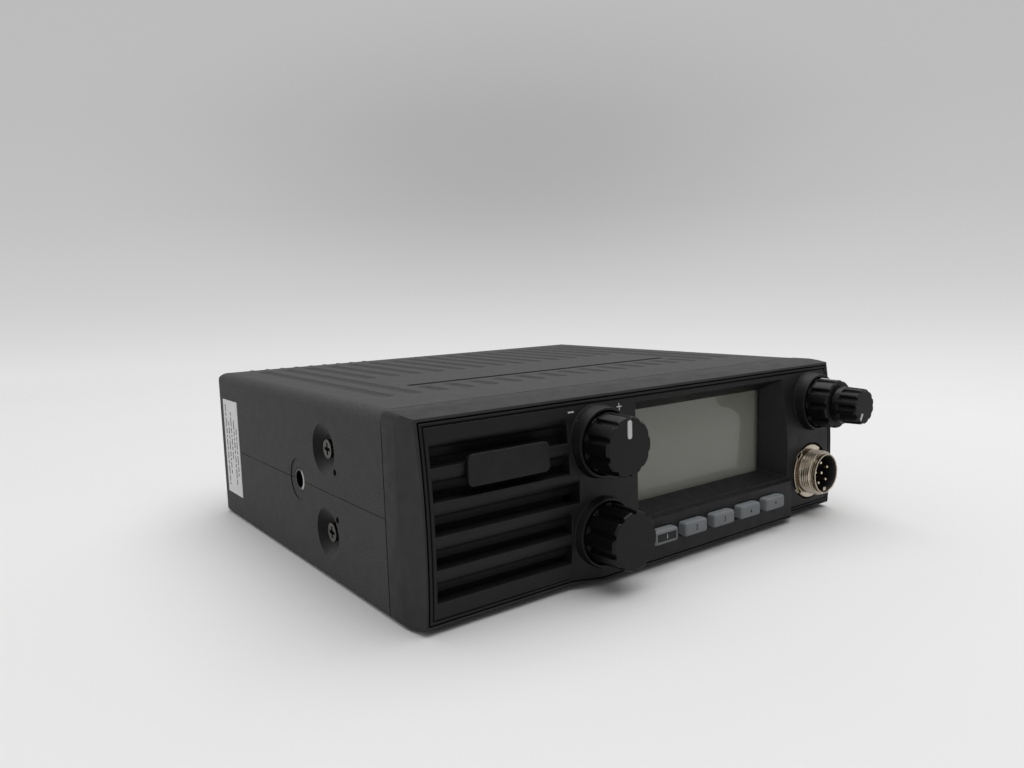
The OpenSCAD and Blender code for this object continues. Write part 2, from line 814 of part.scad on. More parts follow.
// Groove pattern of the upper cover, with a plain band across it
module grooves() {
    y0 = face_y + groove_front;
    y1 = rear_y - groove_rear;
    outer = (groove_count - 1) / 2;
    split = (groove_split - 1) / 2;
    for (i = [-outer : outer]) {
        if (abs(i) > split) groove(i * groove_pitch, y0, y1, groove_w, groove_depth);
        if (abs(i) <= split) {
            groove(i * groove_pitch, y0, y0 + groove_short, groove_w, groove_depth);
            groove(i * groove_pitch, y0 + groove_short + band_len, y1, groove_w, groove_depth);
        }
    }
    half = split * groove_pitch + groove_w / 2;
    along_z(case_h - cross_depth, case_h + over)
        round_rect(-half, half, y0 + groove_short + cross_w, y0 + groove_short + 2 * cross_w, cross_w / 2.1);
}

// One cover: the part of the shell between two heights, with the dish nearest to it
module cover(z0, z1, dish_z) {
    difference() {
        union() {
            intersection() {
                case_shell();
                block(-half_w - over, half_w + over, cover_front_y - over, rear_y + over, z0, z1);
            }
            both_sides() dish_cup(dish_z);
        }
        both_sides() dish_cut(dish_z);
        both_sides() bracket_cut();
    }
}

module top_cover() {
    color("#3a3a3c") difference() {
        cover(seam_z + seam_gap / 2, case_h + over, seam_z + dish_pitch / 2);
        grooves();
    }
}

module bottom_cover() {
    color("#3a3a3c") cover(-over, seam_z - seam_gap / 2, seam_z - dish_pitch / 2);
}

module side_label() {
    y1 = rear_y - label_rear;
    color("#c9c9c6") block(-half_w - label_t, -half_w, y1 - label_len, y1,
        seam_z + label_lift - label_h / 2, seam_z + label_lift + label_h / 2);
}

// A cross-recessed pan head screw that enters along +X, its seat at the origin
module side_screw() {
    difference() {
        union() {
            translate([-screw_head_h, 0, 0]) rotate([0, 90, 0])
                cylinder(h = screw_head_h, r = screw_head_d / 2);
            rotate([0, 90, 0]) cylinder(h = dish_floor + plate, r = screw_d / 2);
        }
        for (turn = [0, 90]) translate([-screw_head_h, 0, 0]) rotate([turn, 0, 0])
            cube([2 * cross_slot_depth, cross_slot_len, cross_slot_w], center = true);
    }
}

module cover_screws() {
    color("#1c1c1c") both_sides() for (side = [-1, 1])
        translate([dish_depth - half_w, face_y + dish_setback, seam_z + side * dish_pitch / 2]) side_screw();
}

module bracket_inserts() {
    neck_r = insert_d / 2 - insert_step;
    head = half_w - pad_depth - side_plate_x;
    color("#9a9a98") both_sides()
        translate([pad_depth - half_w, face_y + insert_setback, seam_z]) rotate([0, 90, 0])
            difference() {
                union() {
                    cylinder(h = head, r = insert_d / 2);
                    cylinder(h = head + plate, r = neck_r);
                }
                translate([0, 0, -over]) cylinder(h = head + plate + 2 * over, r = insert_bore_d / 2);
            }
}

// Front frame and panel

// A lug that reaches from the frame's ledge to the bulkhead
module lug(x, z) {
    x0 = x < 0 ? -opening_x - lug_bite : x - lug_r;
    x1 = x < 0 ? x + lug_r : opening_x + lug_bite;
    block(x0, x1, bezel_back_y - lug_root, bulkhead_y, z - lug_r, z + lug_r);
}

module front_bezel() {
    plan = [
        [-half_w, bezel_back_y], [-half_w, bezel_flat_y], [bezel_inset_x - half_w, face_y],
        [half_w - bezel_inset_x, face_y], [half_w, bezel_flat_y], [half_w, bezel_back_y]
    ];
    profile = [
        [bezel_back_y, 0], [bezel_flat_y, 0], [face_y, bezel_chin],
        [face_y, case_h - bezel_inset_z], [bezel_flat_y, case_h], [bezel_back_y, case_h]
    ];
    color("#343436") difference() {
        union() {
            difference() {
                intersection() {
                    along_y(face_y - over, bezel_back_y) round_rect(-half_w, half_w, 0, case_h, bezel_r);
                    along_z(-over, case_h + over) polygon(plan);
                    along_x(-half_w - over, half_w + over) polygon(profile);
                    behind_face();
                }
                block(-pocket_x, pocket_x, face_y - over, panel_back_y, pocket_z0, pocket_z1);
                block(-opening_x, opening_x, face_y, bezel_back_y + over, opening_z0, opening_z1);
                rod_y(speaker_x, speaker_z, panel_back_y, bezel_back_y + over, speaker_d / 2 + cloth_gap);
            }
            console_strip(bezel_chin, pocket_z0);
            for (p = lug_points) lug(p[0], p[1]);
        }
        for (p = lug_points)
            rod_y(p[0], p[1], bezel_back_y - lug_hole_root, bulkhead_y + over, lug_hole_r);
    }
}

// The bowed plate with the fine groove inside its edge
module panel_plate() {
    g0 = rim_w;
    g1 = rim_w + rim_groove_w;
    difference() {
        intersection() {
            block(-panel_x, panel_x, face_y - over, panel_back_y, panel_z0, panel_z1);
            behind_face();
        }
        difference() {
            block(-panel_x + g0, panel_x - g0, face_y - over, panel_back_y - over,
                panel_z0 + g0, panel_z1 - g0);
            block(-panel_x + g1, panel_x - g1, face_y - 2 * over, panel_back_y,
                panel_z0 + g1, panel_z1 - g1);
            behind_face(rim_groove_depth);
        }
    }
}

// The button console: a raised strip with sloping ends, between two heights
module console_strip(z0, z1) {
    x0 = left_x - console_start;
    x1 = recess_x1 + console_end;
    slope = console_run / 2;
    foot_y = face_y + console_foot;
    along_z(z0, z1) polygon([
        [x0 - slope, panel_back_y], [x0 - slope, foot_y], [x0 + slope, console_y],
        [x1 - slope, console_y], [x1, foot_y], [x1, panel_back_y]
    ]);
}

module collar(x, z) {
    cone_y(x, z, collar_y, face_y + collar_foot, collar_top_r, collar_r);
    rod_y(x, z, face_y + collar_foot, panel_back_y, collar_r);
}

// The well inside a collar and the hole for a control's bush
module well(x, z) {
    rod_y(x, z, collar_y - over, well_y, well_r);
    rod_y(x, z, collar_y, panel_back_y + over, bush_d / 2 + hole_gap);
}

// The funnel in front of the display
module recess() {
    front = console_y - over;
    length = window_y - front;
    lean_x = recess_lean_x * length / recess_depth;
    lean_z = recess_lean_bottom * length / (recess_depth + console_out);
    intersection() {
        along_z(0, case_h) polygon([
            [sight_x0, window_y], [sight_x0 - lean_x, front],
            [sight_x1 + lean_x, front], [sight_x1, window_y]
        ]);
        along_x(-half_w, half_w) polygon([
            [window_y, sight_z0], [front, sight_z0 - lean_z],
            [front, recess_z1], [face_y + recess_land, recess_z1], [window_y, sight_z1]
        ]);
    }
}

// Place of the bowed face at a height
function face_at(z) = face_y + face_r - sqrt(face_r * face_r - (z - apex_z) * (z - apex_z));

// One louvre slot: open at the face, with a rounded slat above it and a roof down to its throat
module louvre(i, x1) {
    top = louvre_top - i * louvre_pitch;
    low = top - louvre_gap;
    roll_z = top + sqrt(louvre_land * (2 * louvre_roll - louvre_land));
    roof_y = face_at(roll_z) + louvre_land;
    along_x(louvre_x0, x1) polygon([
        [face_y - over, top], [roof_y, top], [roof_y + louvre_slope, low + louvre_throat],
        [panel_back_y + over, low + louvre_throat], [panel_back_y + over, low], [face_y - over, low]
    ]);
    difference() {
        block(louvre_x0, x1, face_y - over, roof_y, top, roll_z);
        translate([louvre_x0 - over, face_at(roll_z) + louvre_roll, roll_z]) rotate([0, 90, 0])
            cylinder(h = x1 - louvre_x0 + 2 * over, r = louvre_roll);
    }
}

module key_hole(x) {
    along_y(console_y - over, panel_back_y + over)
        round_rect(x - key_w / 2 - key_gap, x + key_w / 2 + key_gap,
            key_z - key_h / 2 - key_gap, key_z + key_h / 2 + key_gap, key_r + key_gap);
}

function key_x(i) = key_mid_x + (i - (key_count - 1) / 2) * key_pitch;

module front_panel() {
    w = display_wall + display_gap;
    middle = (louvre_count - 1) / 2;
    color("#1b1b1d") difference() {
        union() {
            panel_plate();
            console_strip(panel_z0, console_top);
            for (p = [[left_x, upper_z], [left_x, lower_z], [right_x, upper_z]]) collar(p[0], p[1]);
            block(window_x0 - w, window_x1 + w, panel_back_y - over, guide_y, window_z0 - w, window_z1 + w);
            for (p = post_points) rod_y(p[0], p[1], panel_back_y - over, board_y, post_r);
        }
        for (p = [[left_x, upper_z], [left_x, lower_z], [right_x, upper_z]]) well(p[0], p[1]);
        recess();
        block(window_x0 - display_gap, window_x1 + display_gap, window_y, guide_y + over,
            window_z0 - display_gap, window_z1 + display_gap);
        for (i = [0 : louvre_count - 1]) louvre(i, i == middle ? louvre_x1 + louvre_long : louvre_x1);
        for (i = [0 : key_count - 1]) key_hole(key_x(i));
        along_y(face_y - over, plate_seat_y)
            round_rect(plate_x - plate_w / 2 - plate_gap, plate_x + plate_w / 2 + plate_gap,
                plate_z - plate_h / 2 - plate_gap, plate_z + plate_h / 2 + plate_gap, plate_r);
        rod_y(mic_x, mic_z, console_y - over, mic_nut_y, mic_nut_d / 2 + mic_nut_gap);
        rod_y(mic_x, mic_z, face_y, panel_back_y + over, mic_thread_d / 2);
    }
}

module name_plate() {
    color("#232325") along_y(plate_seat_y - plate_t, plate_seat_y)
        round_rect(plate_x - plate_w / 2, plate_x + plate_w / 2,
            plate_z - plate_h / 2, plate_z + plate_h / 2, plate_r);
}

// Display

module display_window() {
    color("#6b6b63", 0.5) block(window_x0, window_x1, window_y, lcd_y, window_z0, window_z1);
}

module lcd_panel() {
    color("#6f7067") block(window_x0, window_x1, lcd_y, guide_y, window_z0, window_z1);
}

module lcd_light_guide() {
    color("#e8e8e0") block(window_x0, window_x1, guide_y, board_y, window_z0, window_z1);
}

module front_board() {
    color("#1f5a36") difference() {
        block(board_x0, board_x1, board_y, board_back_y, board_z0, board_z1);
        block(notch_x, board_x1 + over, board_y - over, board_back_y + over, board_z0 - over, notch_z);
    }
}

// Knobs and controls

// A knob whose axis runs along Y: front face at y0, base at y1, its first grip groove turned from the top
module knob_body(x, z, y0, y1, front_d, base_d, flutes, turn, bore) {
    difference() {
        union() {
            cone_y(x, z, y0, y0 + knob_bevel, front_d / 2 - knob_bevel, front_d / 2);
            cone_y(x, z, y0 + knob_bevel, y1, front_d / 2, base_d / 2);
        }
        for (i = [0 : flutes - 1]) translate([x, 0, z]) rotate([0, turn + i * 360 / flutes, 0])
            rod_y(0, front_d / 2 + flute_r * flute_lift, y0 - over, y1 - knob_band, flute_r);
        rod_y(x, z, y0 + knob_cap, y1 + over, bore / 2 + run_gap);
    }
}

// A large knob with a hollow over the control's nut
module large_knob(x, z, y0, turn) {
    difference() {
        knob_body(x, z, y0, knob_base_y, knob_d, knob_base_d, flute_count, turn, shaft_d);
        rod_y(x, z, knob_base_y - push_travel - nut_room, knob_base_y + over, knob_recess);
    }
}

// A pointer line on a knob's front face, drawn at the top and turned anticlockwise
module pointer(x, z, y0, y1, inner, outer, w, turn) {
    translate([x, 0, z]) rotate([0, turn, 0])
        along_y(y0, y1) round_rect(-w / 2, w / 2, inner, outer, (w - mark_flat) / 2);
}

module clarifier_mark(y0, grow) {
    outer = knob_d / 2 - mark_margin;
    pointer(left_x, upper_z, y0, clarifier_y + pointer_depth, outer - pointer_len - grow, outer + grow,
        pointer_w + 2 * grow, 0);
}

module clarifier_knob() {
    color("#1d1d1f") difference() {
        large_knob(left_x, upper_z, clarifier_y, 0);
        clarifier_mark(clarifier_y - over, mark_gap);
    }
}

module clarifier_pointer() {
    color("#e6e6e0") clarifier_mark(clarifier_y - mark_proud, 0);
}

module clarifier_shaft() {
    color("#b9b9b4") rod_y(left_x, upper_z, clarifier_y + knob_cap + shaft_gap, shaft_back_y, shaft_d / 2);
}

// A control: a body on the front board, a threaded bush through the panel and a bore for the shaft
module control(x, z, cavity_r, cavity_y) {
    difference() {
        union() {
            block(x - control_w / 2, x + control_w / 2, control_y, board_y,
                z - control_w / 2, z + control_w / 2);
            rod_y(x, z, bush_end_y, control_y, bush_d / 2);
        }
        rod_y(x, z, bush_end_y - over, shaft_back_y + run_gap, shaft_d / 2 + run_gap);
        rod_y(x, z, cavity_y, shaft_back_y + 2 * plunger_t + push_travel, cavity_r);
    }
}

module clarifier_pot() {
    color("#8d9096") control(left_x, upper_z, shaft_d / 2 - pot_step, shaft_back_y);
}

module channel_knob() {
    color("#1d1d1f") large_knob(left_x, lower_z, channel_y, 0);
}

module channel_shaft() {
    color("#b9b9b4") rod_y(left_x, lower_z, channel_y + knob_cap + shaft_gap, shaft_back_y, shaft_d / 2);
}

// The collar that the shaft pushes against the encoder's switch
module channel_plunger() {
    color("#d8d4c8") rod_y(left_x, lower_z, shaft_back_y, shaft_back_y + plunger_t, plunger_r);
}

// Its cavity is as wide as the shaft's bore, so that shaft and collar slide back together
module channel_encoder() {
    color("#8d9096") control(left_x, lower_z, shaft_d / 2 + run_gap, shaft_back_y - plunger_t);
}

// The slot for the white line along the top of the squelch ring, between two grip grooves
module squelch_slot(grow) {
    floor_z = upper_z + knob_d / 2 - pointer_depth;
    block(right_x - squelch_line_w / 2 - grow, right_x + squelch_line_w / 2 + grow,
        squelch_y + squelch_line_front - grow, knob_base_y - knob_band + grow,
        floor_z - grow, upper_z + knob_base_d / 2 + over);
}

module squelch_knob() {
    color("#1d1d1f") difference() {
        large_knob(right_x, upper_z, squelch_y, 180 / flute_count);
        squelch_slot(mark_gap);
        rod_y(right_x, upper_z, squelch_y - over, knob_base_y, inner_shaft_d / 2 + knob_gap);
    }
}

module squelch_pointer() {
    color("#e6e6e0") intersection() {
        squelch_slot(0);
        cone_y(right_x, upper_z, squelch_y, knob_base_y,
            knob_d / 2 + mark_proud, knob_base_d / 2 + mark_proud);
    }
}

module squelch_shaft() {
    color("#b9b9b4") difference() {
        rod_y(right_x, upper_z, squelch_y + knob_cap + shaft_gap, shaft_back_y, shaft_d / 2);
        rod_y(right_x, upper_z, squelch_y, shaft_back_y + over, inner_shaft_d / 2 + run_gap);
    }
}

module volume_mark(y0, grow) {
    outer = volume_d / 2 - knob_bevel - volume_line_margin;
    pointer(right_x, upper_z, y0, volume_y + pointer_depth, outer - volume_line_len - grow, outer + grow,
        volume_line_w + 2 * grow, -volume_rest);
}

module volume_knob() {
    color("#1d1d1f") difference() {
        knob_body(right_x, upper_z, volume_y, volume_base_y, volume_d, volume_d + volume_taper,
            volume_flutes, 0, inner_shaft_d);
        volume_mark(volume_y - over, mark_gap);
    }
}

module volume_pointer() {
    color("#e6e6e0") volume_mark(volume_y - mark_proud, 0);
}

module volume_shaft() {
    color("#b9b9b4")
        rod_y(right_x, upper_z, volume_y + knob_cap + shaft_gap, shaft_back_y + plunger_t, inner_shaft_d / 2);
}

module dual_pot() {
    color("#8d9096") difference() {
        control(right_x, upper_z, inner_shaft_d / 2 + run_gap, shaft_back_y);
        rod_y(right_x, upper_z, squelch_y, shaft_back_y, inner_shaft_d / 2);
    }
}

module control_nuts() {
    color("#a8a8a4") for (p = [[left_x, upper_z], [left_x, lower_z], [right_x, upper_z]])
        difference() {
            translate([p[0], well_y, p[1]]) rotate([90, 0, 0]) cylinder(h = nut_t, r = nut_d / 2, $fn = 6);
            rod_y(p[0], p[1], well_y - nut_t - over, well_y + over, bush_d / 2 + run_gap);
        }
}

// Keys

// A key: cap, flange behind the panel and stem towards its contact
module key(i) {
    x = key_x(i);
    stem_y = board_y - key_travel - contact_gap;
    along_y(key_front_y, key_flange_y) round_rect(x - key_w / 2, x + key_w / 2,
        key_z - key_h / 2, key_z + key_h / 2, key_r);
    block(x - key_w / 2 - key_flange, x + key_w / 2 + key_flange, key_flange_y, key_flange_y + key_flange_t,
        key_z - key_h / 2 - key_flange, key_z + key_h / 2 + key_flange);
    block(x - key_stem_w / 2, x + key_stem_w / 2, key_flange_y, stem_y,
        key_z - key_stem_h / 2, key_z + key_stem_h / 2);
}

// The dark window let into the first key's face
module mode_inset_shape(y0, grow) {
    x = key_x(0);
    dx = key_w / 2 - inset_margin + grow;
    dz = key_h / 2 - inset_margin + grow;
    block(x - dx, x + dx, y0, key_front_y + inset_depth, key_z - dz, key_z + dz);
}

module mode_key() {
    color("#a7abad") difference() {
        key(0);
        mode_inset_shape(key_front_y - over, mark_gap);
    }
}

module mode_key_inset() {
    color("#26282a") mode_inset_shape(key_front_y - mark_proud, 0);
}

module scan_key() {
    color("#a7abad") key(1);
}

module filter_key() {
    color("#a7abad") key(2);
}

module memory_key() {
    color("#a7abad") key(3);
}

module tone_key() {
    color("#a7abad") key(4);
}

module keypad_mat() {
    hole_dx = key_stem_w / 2 + mat_gap;
    hole_dz = key_stem_h / 2 + mat_gap;
    mat_h = hole_dz + mat_edge;
    color("#77797b") difference() {
        block(key_x(0) - key_pitch / 2, key_x(key_count - 1) + key_pitch / 2, board_y - mat_t, board_y,
            key_z - mat_h, key_z + mat_h);
        for (i = [0 : key_count - 1])
            block(key_x(i) - hole_dx, key_x(i) + hole_dx, board_y - mat_t - over, board_y + over,
                key_z - hole_dz, key_z + hole_dz);
    }
}

// Microphone socket

module mic_shell() {
    bore_r = mic_bore_d / 2;
    color("#b8aea0") difference() {
        union() {
            rod_y(mic_x, mic_z, mic_front_y, mic_front_y + mic_rim_len, mic_rim_d / 2);
            rod_y(mic_x, mic_z, mic_front_y + mic_rim_len, face_y, mic_thread_d / 2);
            rod_y(mic_x, mic_z, face_y, mic_back_y, mic_neck_r);
            rod_y(mic_x, mic_z, panel_back_y, panel_back_y + mic_flange_t, mic_thread_d / 2 + mic_flange);
        }
        rod_y(mic_x, mic_z, mic_front_y - over, mic_back_y + over, bore_r);
    }
    // Key rib at the bottom of the bore
    color("#b8aea0") intersection() {
        block(mic_x - mic_rib_w / 2, mic_x + mic_rib_w / 2, mic_front_y + mic_rib_front, mic_floor_y,
            mic_z - bore_r - mic_rib_root, mic_z - bore_r + mic_rib_h);
        rod_y(mic_x, mic_z, mic_front_y, mic_floor_y, bore_r + mic_rib_root);
    }
}

module mic_nut() {
    color("#b8aea0") difference() {
        tube_y(mic_x, mic_z, face_y, mic_nut_y, mic_nut_d / 2, mic_neck_r + run_gap);
        for (turn = [45 : 90 : 315]) translate([mic_x, 0, mic_z]) rotate([0, turn, 0])
            block(-mic_slot_w / 2, mic_slot_w / 2, face_y - over, face_y + mic_slot_depth,
                mic_nut_d / 2 - mic_slot_in, mic_nut_d / 2 + over);
    }
}

module mic_insulator() {
    color("#0d0d0d") difference() {
        rod_y(mic_x, mic_z, mic_floor_y, mic_back_y, mic_bore_d / 2);
        for (p = mic_pin_points)
            rod_y(mic_x + p[0], mic_z + p[1], mic_floor_y - over, mic_back_y + over, mic_pin_d / 2);
    }
}

module mic_pins() {
    color("#d9d4c8") for (p = mic_pin_points)
        rod_y(mic_x + p[0], mic_z + p[1], mic_front_y + mic_pin_inset,
            mic_back_y + mic_pin_tail, mic_pin_d / 2);
}

// Loudspeaker

module speaker_cloth() {
    color("#0b0b0c") block(cloth_gap - opening_x, louvre_x1 + cloth_edge, cloth_y, basket_y,
        opening_z0 + cloth_margin, opening_z1 - cloth_margin);
}

// An outline of radius and depth, turned about the speaker's axis
module speaker_turned(outline) {
    translate([speaker_x, basket_y, speaker_z]) rotate([-90, 0, 0]) rotate_extrude() polygon(outline);
}

// A cup of metal: flange, sloping wall and floor
module speaker_basket() {
    r = speaker_d / 2;
    m = magnet_d / 2;
    floor_d = basket_d - basket_t;
    color("#4a4c50") speaker_turned([
        [r - basket_lip, 0], [r, 0], [r, basket_t], [r - basket_lip + basket_t, basket_t], [m, basket_d],
        [m / 2, basket_d], [m / 2, floor_d], [m - basket_t / 2, floor_d], [r - basket_lip, basket_t]
    ]);
}

module speaker_cone() {
    r = speaker_d / 2 - basket_lip - cone_gap;
    hub = magnet_d / 4;
    d = basket_d - cone_back;
    color("#2a2a2c") speaker_turned([
        [r, cone_front], [r, cone_front + cone_t], [hub, d + cone_t], [0, d + cone_t],
        [0, d - cone_dome], [hub, d - cone_dome / 2]
    ]);
}

module speaker_magnet() {
    color("#55565a") rod_y(speaker_x, speaker_z, magnet_y, magnet_y + magnet_h, magnet_d / 2);
}

// Frame and electronics

// A round hole through the left side plate
module side_plate_hole(setback, z, r) {
    translate([-side_plate_x - over, face_y + setback, z]) rotate([0, 90, 0])
        cylinder(h = plate + 2 * over, r = r);
}

module chassis() {
    inner = side_plate_x - plate;
    color("#9fa1a3") difference() {
        union() {
            both_sides() {
                block(-side_plate_x, -inner, bulkhead_y, sink_y, opening_z0, opening_z1);
                block(-inner - plate / 2, ledge_w - inner, bulkhead_back_y - plate / 2, sink_y,
                    ledge_z - plate, ledge_z);
            }
            block(-side_plate_x, side_plate_x, bulkhead_y, bulkhead_back_y, opening_z0, opening_z1);
        }
        rod_y(speaker_x, speaker_z, bulkhead_y - over, bulkhead_back_y + over, magnet_d / 2 + magnet_gap);
        block(key_mid_x - ribbon_w / 2 - ribbon_gap, key_mid_x + ribbon_w / 2 + ribbon_gap,
            bulkhead_y - over, bulkhead_back_y + over,
            ribbon_z - ribbon_gap, ribbon_z + ribbon_t + ribbon_gap);
        for (p = lug_points) rod_y(p[0], p[1], bulkhead_y - over, bulkhead_back_y + over, lug_hole_r);
        both_sides() {
            for (side = [-1, 1])
                side_plate_hole(dish_setback, seam_z + side * dish_pitch / 2, screw_d / 2 + hole_gap);
            side_plate_hole(insert_setback, seam_z, insert_d / 2 - insert_step);
        }
    }
}

// Screws through the bulkhead into the frame's lugs
module frame_screws() {
    color("#c4c4c0") for (p = lug_points) {
        rod_y(p[0], p[1], bezel_back_y - frame_screw_root, bulkhead_back_y, lug_hole_r - run_gap);
        rod_y(p[0], p[1], bulkhead_back_y, bulkhead_back_y + frame_head_h, lug_r);
    }
}

module main_board() {
    color("#1f5a36") difference() {
        block(-main_x, main_x, main_y0, main_y1, ledge_z, main_z);
        block(jack_x - jack_body_w, jack_x + jack_body_w, sink_y - jack_body_d - jack_room, main_y1 + over,
            ledge_z - over, main_z + over);
    }
}

// A power transistor: a flat package against the heat sink and three leads down to the board
module power_transistor(x) {
    foot = main_z + lead_len;
    lead_y = sink_y - (transistor_t + lead_t) / 2;
    block(x, x + transistor_w, sink_y - transistor_t, sink_y, foot, foot + transistor_h);
    for (i = [-1 : 1]) translate([x + transistor_w / 2 + i * lead_pitch, 0, 0])
        block(-lead_w / 2, lead_w / 2, lead_y, lead_y + lead_t, main_z, foot + lead_t);
}

module power_transistors() {
    color("#18181a") for (i = [0 : 2]) power_transistor(fin_x0 + transistor_x + i * transistor_pitch);
}

// A place on the main board, from its front left corner
module on_board(place) {
    translate([place[0] - main_x, main_y0 + place[1], main_z]) children();
}

module shield_can() {
    color("#b4b6b8") on_board(can_place) cube(can_size);
}

module capacitors() {
    color("#1d2a55") for (i = [0, 1], j = [0, 1])
        translate([
            main_x - capacitor_place[0] - i * capacitor_pitch,
            main_y1 - capacitor_place[1] - j * capacitor_pitch,
            main_z
        ]) cylinder(h = capacitor_h[i], r = capacitor_r);
}

// A tuning coil's can with the open end of its core
module tuning_coil() {
    difference() {
        cube([coil_w, coil_w, coil_h]);
        translate([coil_w / 2, coil_w / 2, coil_h - coil_core_depth])
            cylinder(h = coil_core_depth + over, r = coil_core_r);
    }
}

module tuning_coils() {
    color("#b4b6b8") for (i = [0 : 2], j = [0, 1])
        on_board([coil_place[0] + i * coil_pitch[0], coil_place[1] + j * coil_pitch[1]]) tuning_coil();
}

module chips() {
    color("#151517") for (i = [0 : 2])
        on_board([chip_place[0] + i * chip_pitch, chip_place[1]]) cube(chip_size);
}

// A flat cable from the back of the front board, through the bulkhead, down to the main board
module ribbon_cable() {
    y0 = board_back_y;
    y1 = main_y0 + ribbon_run;
    top = main_z + ribbon_rise;
    t = ribbon_t;
    color("#8b8f94") along_x(key_mid_x - ribbon_w / 2, key_mid_x + ribbon_w / 2) polygon([
        [y0, top], [y0 + t, top], [y0 + t, ribbon_z + t], [y1 + t, ribbon_z + t],
        [y1 + t, main_z], [y1, main_z], [y1, ribbon_z], [y0, ribbon_z]
    ]);
}

// Rear panel and sockets

// A block round the power socket's middle line, grown by a margin at every side
module power_block(y0, y1, w, h, margin) {
    block(power_x - w / 2 - margin, power_x + w / 2 + margin, y0, y1,
        rear_z - h / 2 - margin, rear_z + h / 2 + margin);
}

// A fin: its root passes through the covers' rear opening, and behind them it is nearly as high as the case
module fin(x) {
    root_y = sink_back_y - over;
    wide_y = rear_y + fin_gap;
    end_y = rear_y + fin_len;
    root_z = rear_lip + fin_root;
    along_x(x, x + fin_t) polygon([
        [root_y, root_z], [wide_y, root_z], [wide_y, fin_drop], [end_y, fin_drop],
        [end_y, case_h - fin_drop], [wide_y, case_h - fin_drop], [wide_y, case_h - root_z],
        [root_y, case_h - root_z]
    ]);
}

module rear_heatsink() {
    fins = floor((fin_x1 - fin_x0 - fin_t) / fin_pitch);
    color("#2b2b2d") difference() {
        union() {
            block(-sink_x, sink_x, sink_y, sink_back_y, sink_z0, sink_z1);
            for (i = [0 : fins]) fin(fin_x0 + i * fin_pitch);
        }
        rod_y(antenna_x, rear_z, sink_y - over, sink_back_y + over, insulator_r + antenna_room);
        power_block(sink_y - over, sink_back_y + over, power_shell_w, power_shell_h, hole_gap);
        for (z = jack_z) rod_y(jack_x, z, sink_y - over, sink_back_y + over, jack_neck_r + hole_gap);
        for (p = antenna_points) rod_y(p[0], p[1], antenna_face_y - rear_screw_len - hole_gap,
            sink_back_y + over, screw_d / 2 + hole_gap);
    }
}

module antenna_socket() {
    half = antenna_flange / 2;
    color("#c2bdb2") difference() {
        union() {
            along_y(sink_back_y, antenna_face_y)
                round_rect(antenna_x - half, antenna_x + half, rear_z - half, rear_z + half, antenna_corner);
            rod_y(antenna_x, rear_z, antenna_face_y, antenna_end_y, antenna_d / 2);
        }
        rod_y(antenna_x, rear_z, sink_back_y - over, antenna_end_y + over, insulator_r);
        for (p = antenna_points) {
            rod_y(p[0], p[1], sink_back_y - over, antenna_face_y + over, screw_d / 2 + hole_gap);
            rod_y(p[0], p[1], antenna_face_y - rear_head_h, antenna_face_y + over, rear_head_r + hole_gap);
        }
    }
}

// Flush screws that hold the antenna socket's flange
module rear_screws() {
    color("#b9b6ae") for (p = antenna_points) difference() {
        union() {
            rod_y(p[0], p[1], antenna_face_y - rear_screw_len, antenna_face_y, screw_d / 2);
            rod_y(p[0], p[1], antenna_face_y - rear_head_h, antenna_face_y, rear_head_r);
        }
        for (turn = [0, 90]) translate([p[0], antenna_face_y, p[1]]) rotate([0, turn, 0])
            cube([rear_slot_len, 2 * rear_slot_depth, rear_slot_w], center = true);
    }
}

module antenna_insulator() {
    color("#e9e7df") tube_y(antenna_x, rear_z, sink_y - insulator_back, antenna_face_y + insulator_front,
        insulator_r, contact_d / 2 + contact_wall);
}

module antenna_contact() {
    r = contact_d / 2;
    color("#d2b46a") difference() {
        rod_y(antenna_x, rear_z, sink_y - contact_tail, antenna_end_y - contact_inset, r + contact_wall);
        rod_y(antenna_x, rear_z, sink_y, antenna_end_y, r);
    }
}

module power_socket() {
    front_y = sink_back_y + flange_t;
    color("#1a1a1b") difference() {
        union() {
            power_block(power_back_y, front_y, power_shell_w, power_shell_h, 0);
            power_block(sink_back_y, front_y, power_shell_w, power_shell_h, power_lip);
        }
        power_block(power_back_y + power_floor, front_y + over, power_w, power_h, 0);
        for (side = [-1, 1])
            rod_y(power_x + side * power_pin_x, rear_z, power_back_y - over, sink_back_y, power_pin_r);
    }
}

module power_pins() {
    color("#d9d4c8") for (side = [-1, 1])
        rod_y(power_x + side * power_pin_x, rear_z, power_back_y - power_pin_tail,
            sink_back_y - power_pin_inset, power_pin_r);
}

module jack_sockets() {
    rim_y = sink_back_y + jack_rim_t;
    half = jack_body_w / 2;
    color("#161617") for (z = jack_z) difference() {
        union() {
            block(jack_x - half, jack_x + half, sink_y - jack_body_d, sink_y, z - half, z + half);
            rod_y(jack_x, z, sink_y - jack_root, sink_back_y, jack_neck_r);
            rod_y(jack_x, z, sink_back_y, rim_y, jack_rim_r);
        }
        rod_y(jack_x, z, sink_y - jack_bore_depth, rim_y + over, jack_bore_d / 2);
    }
}

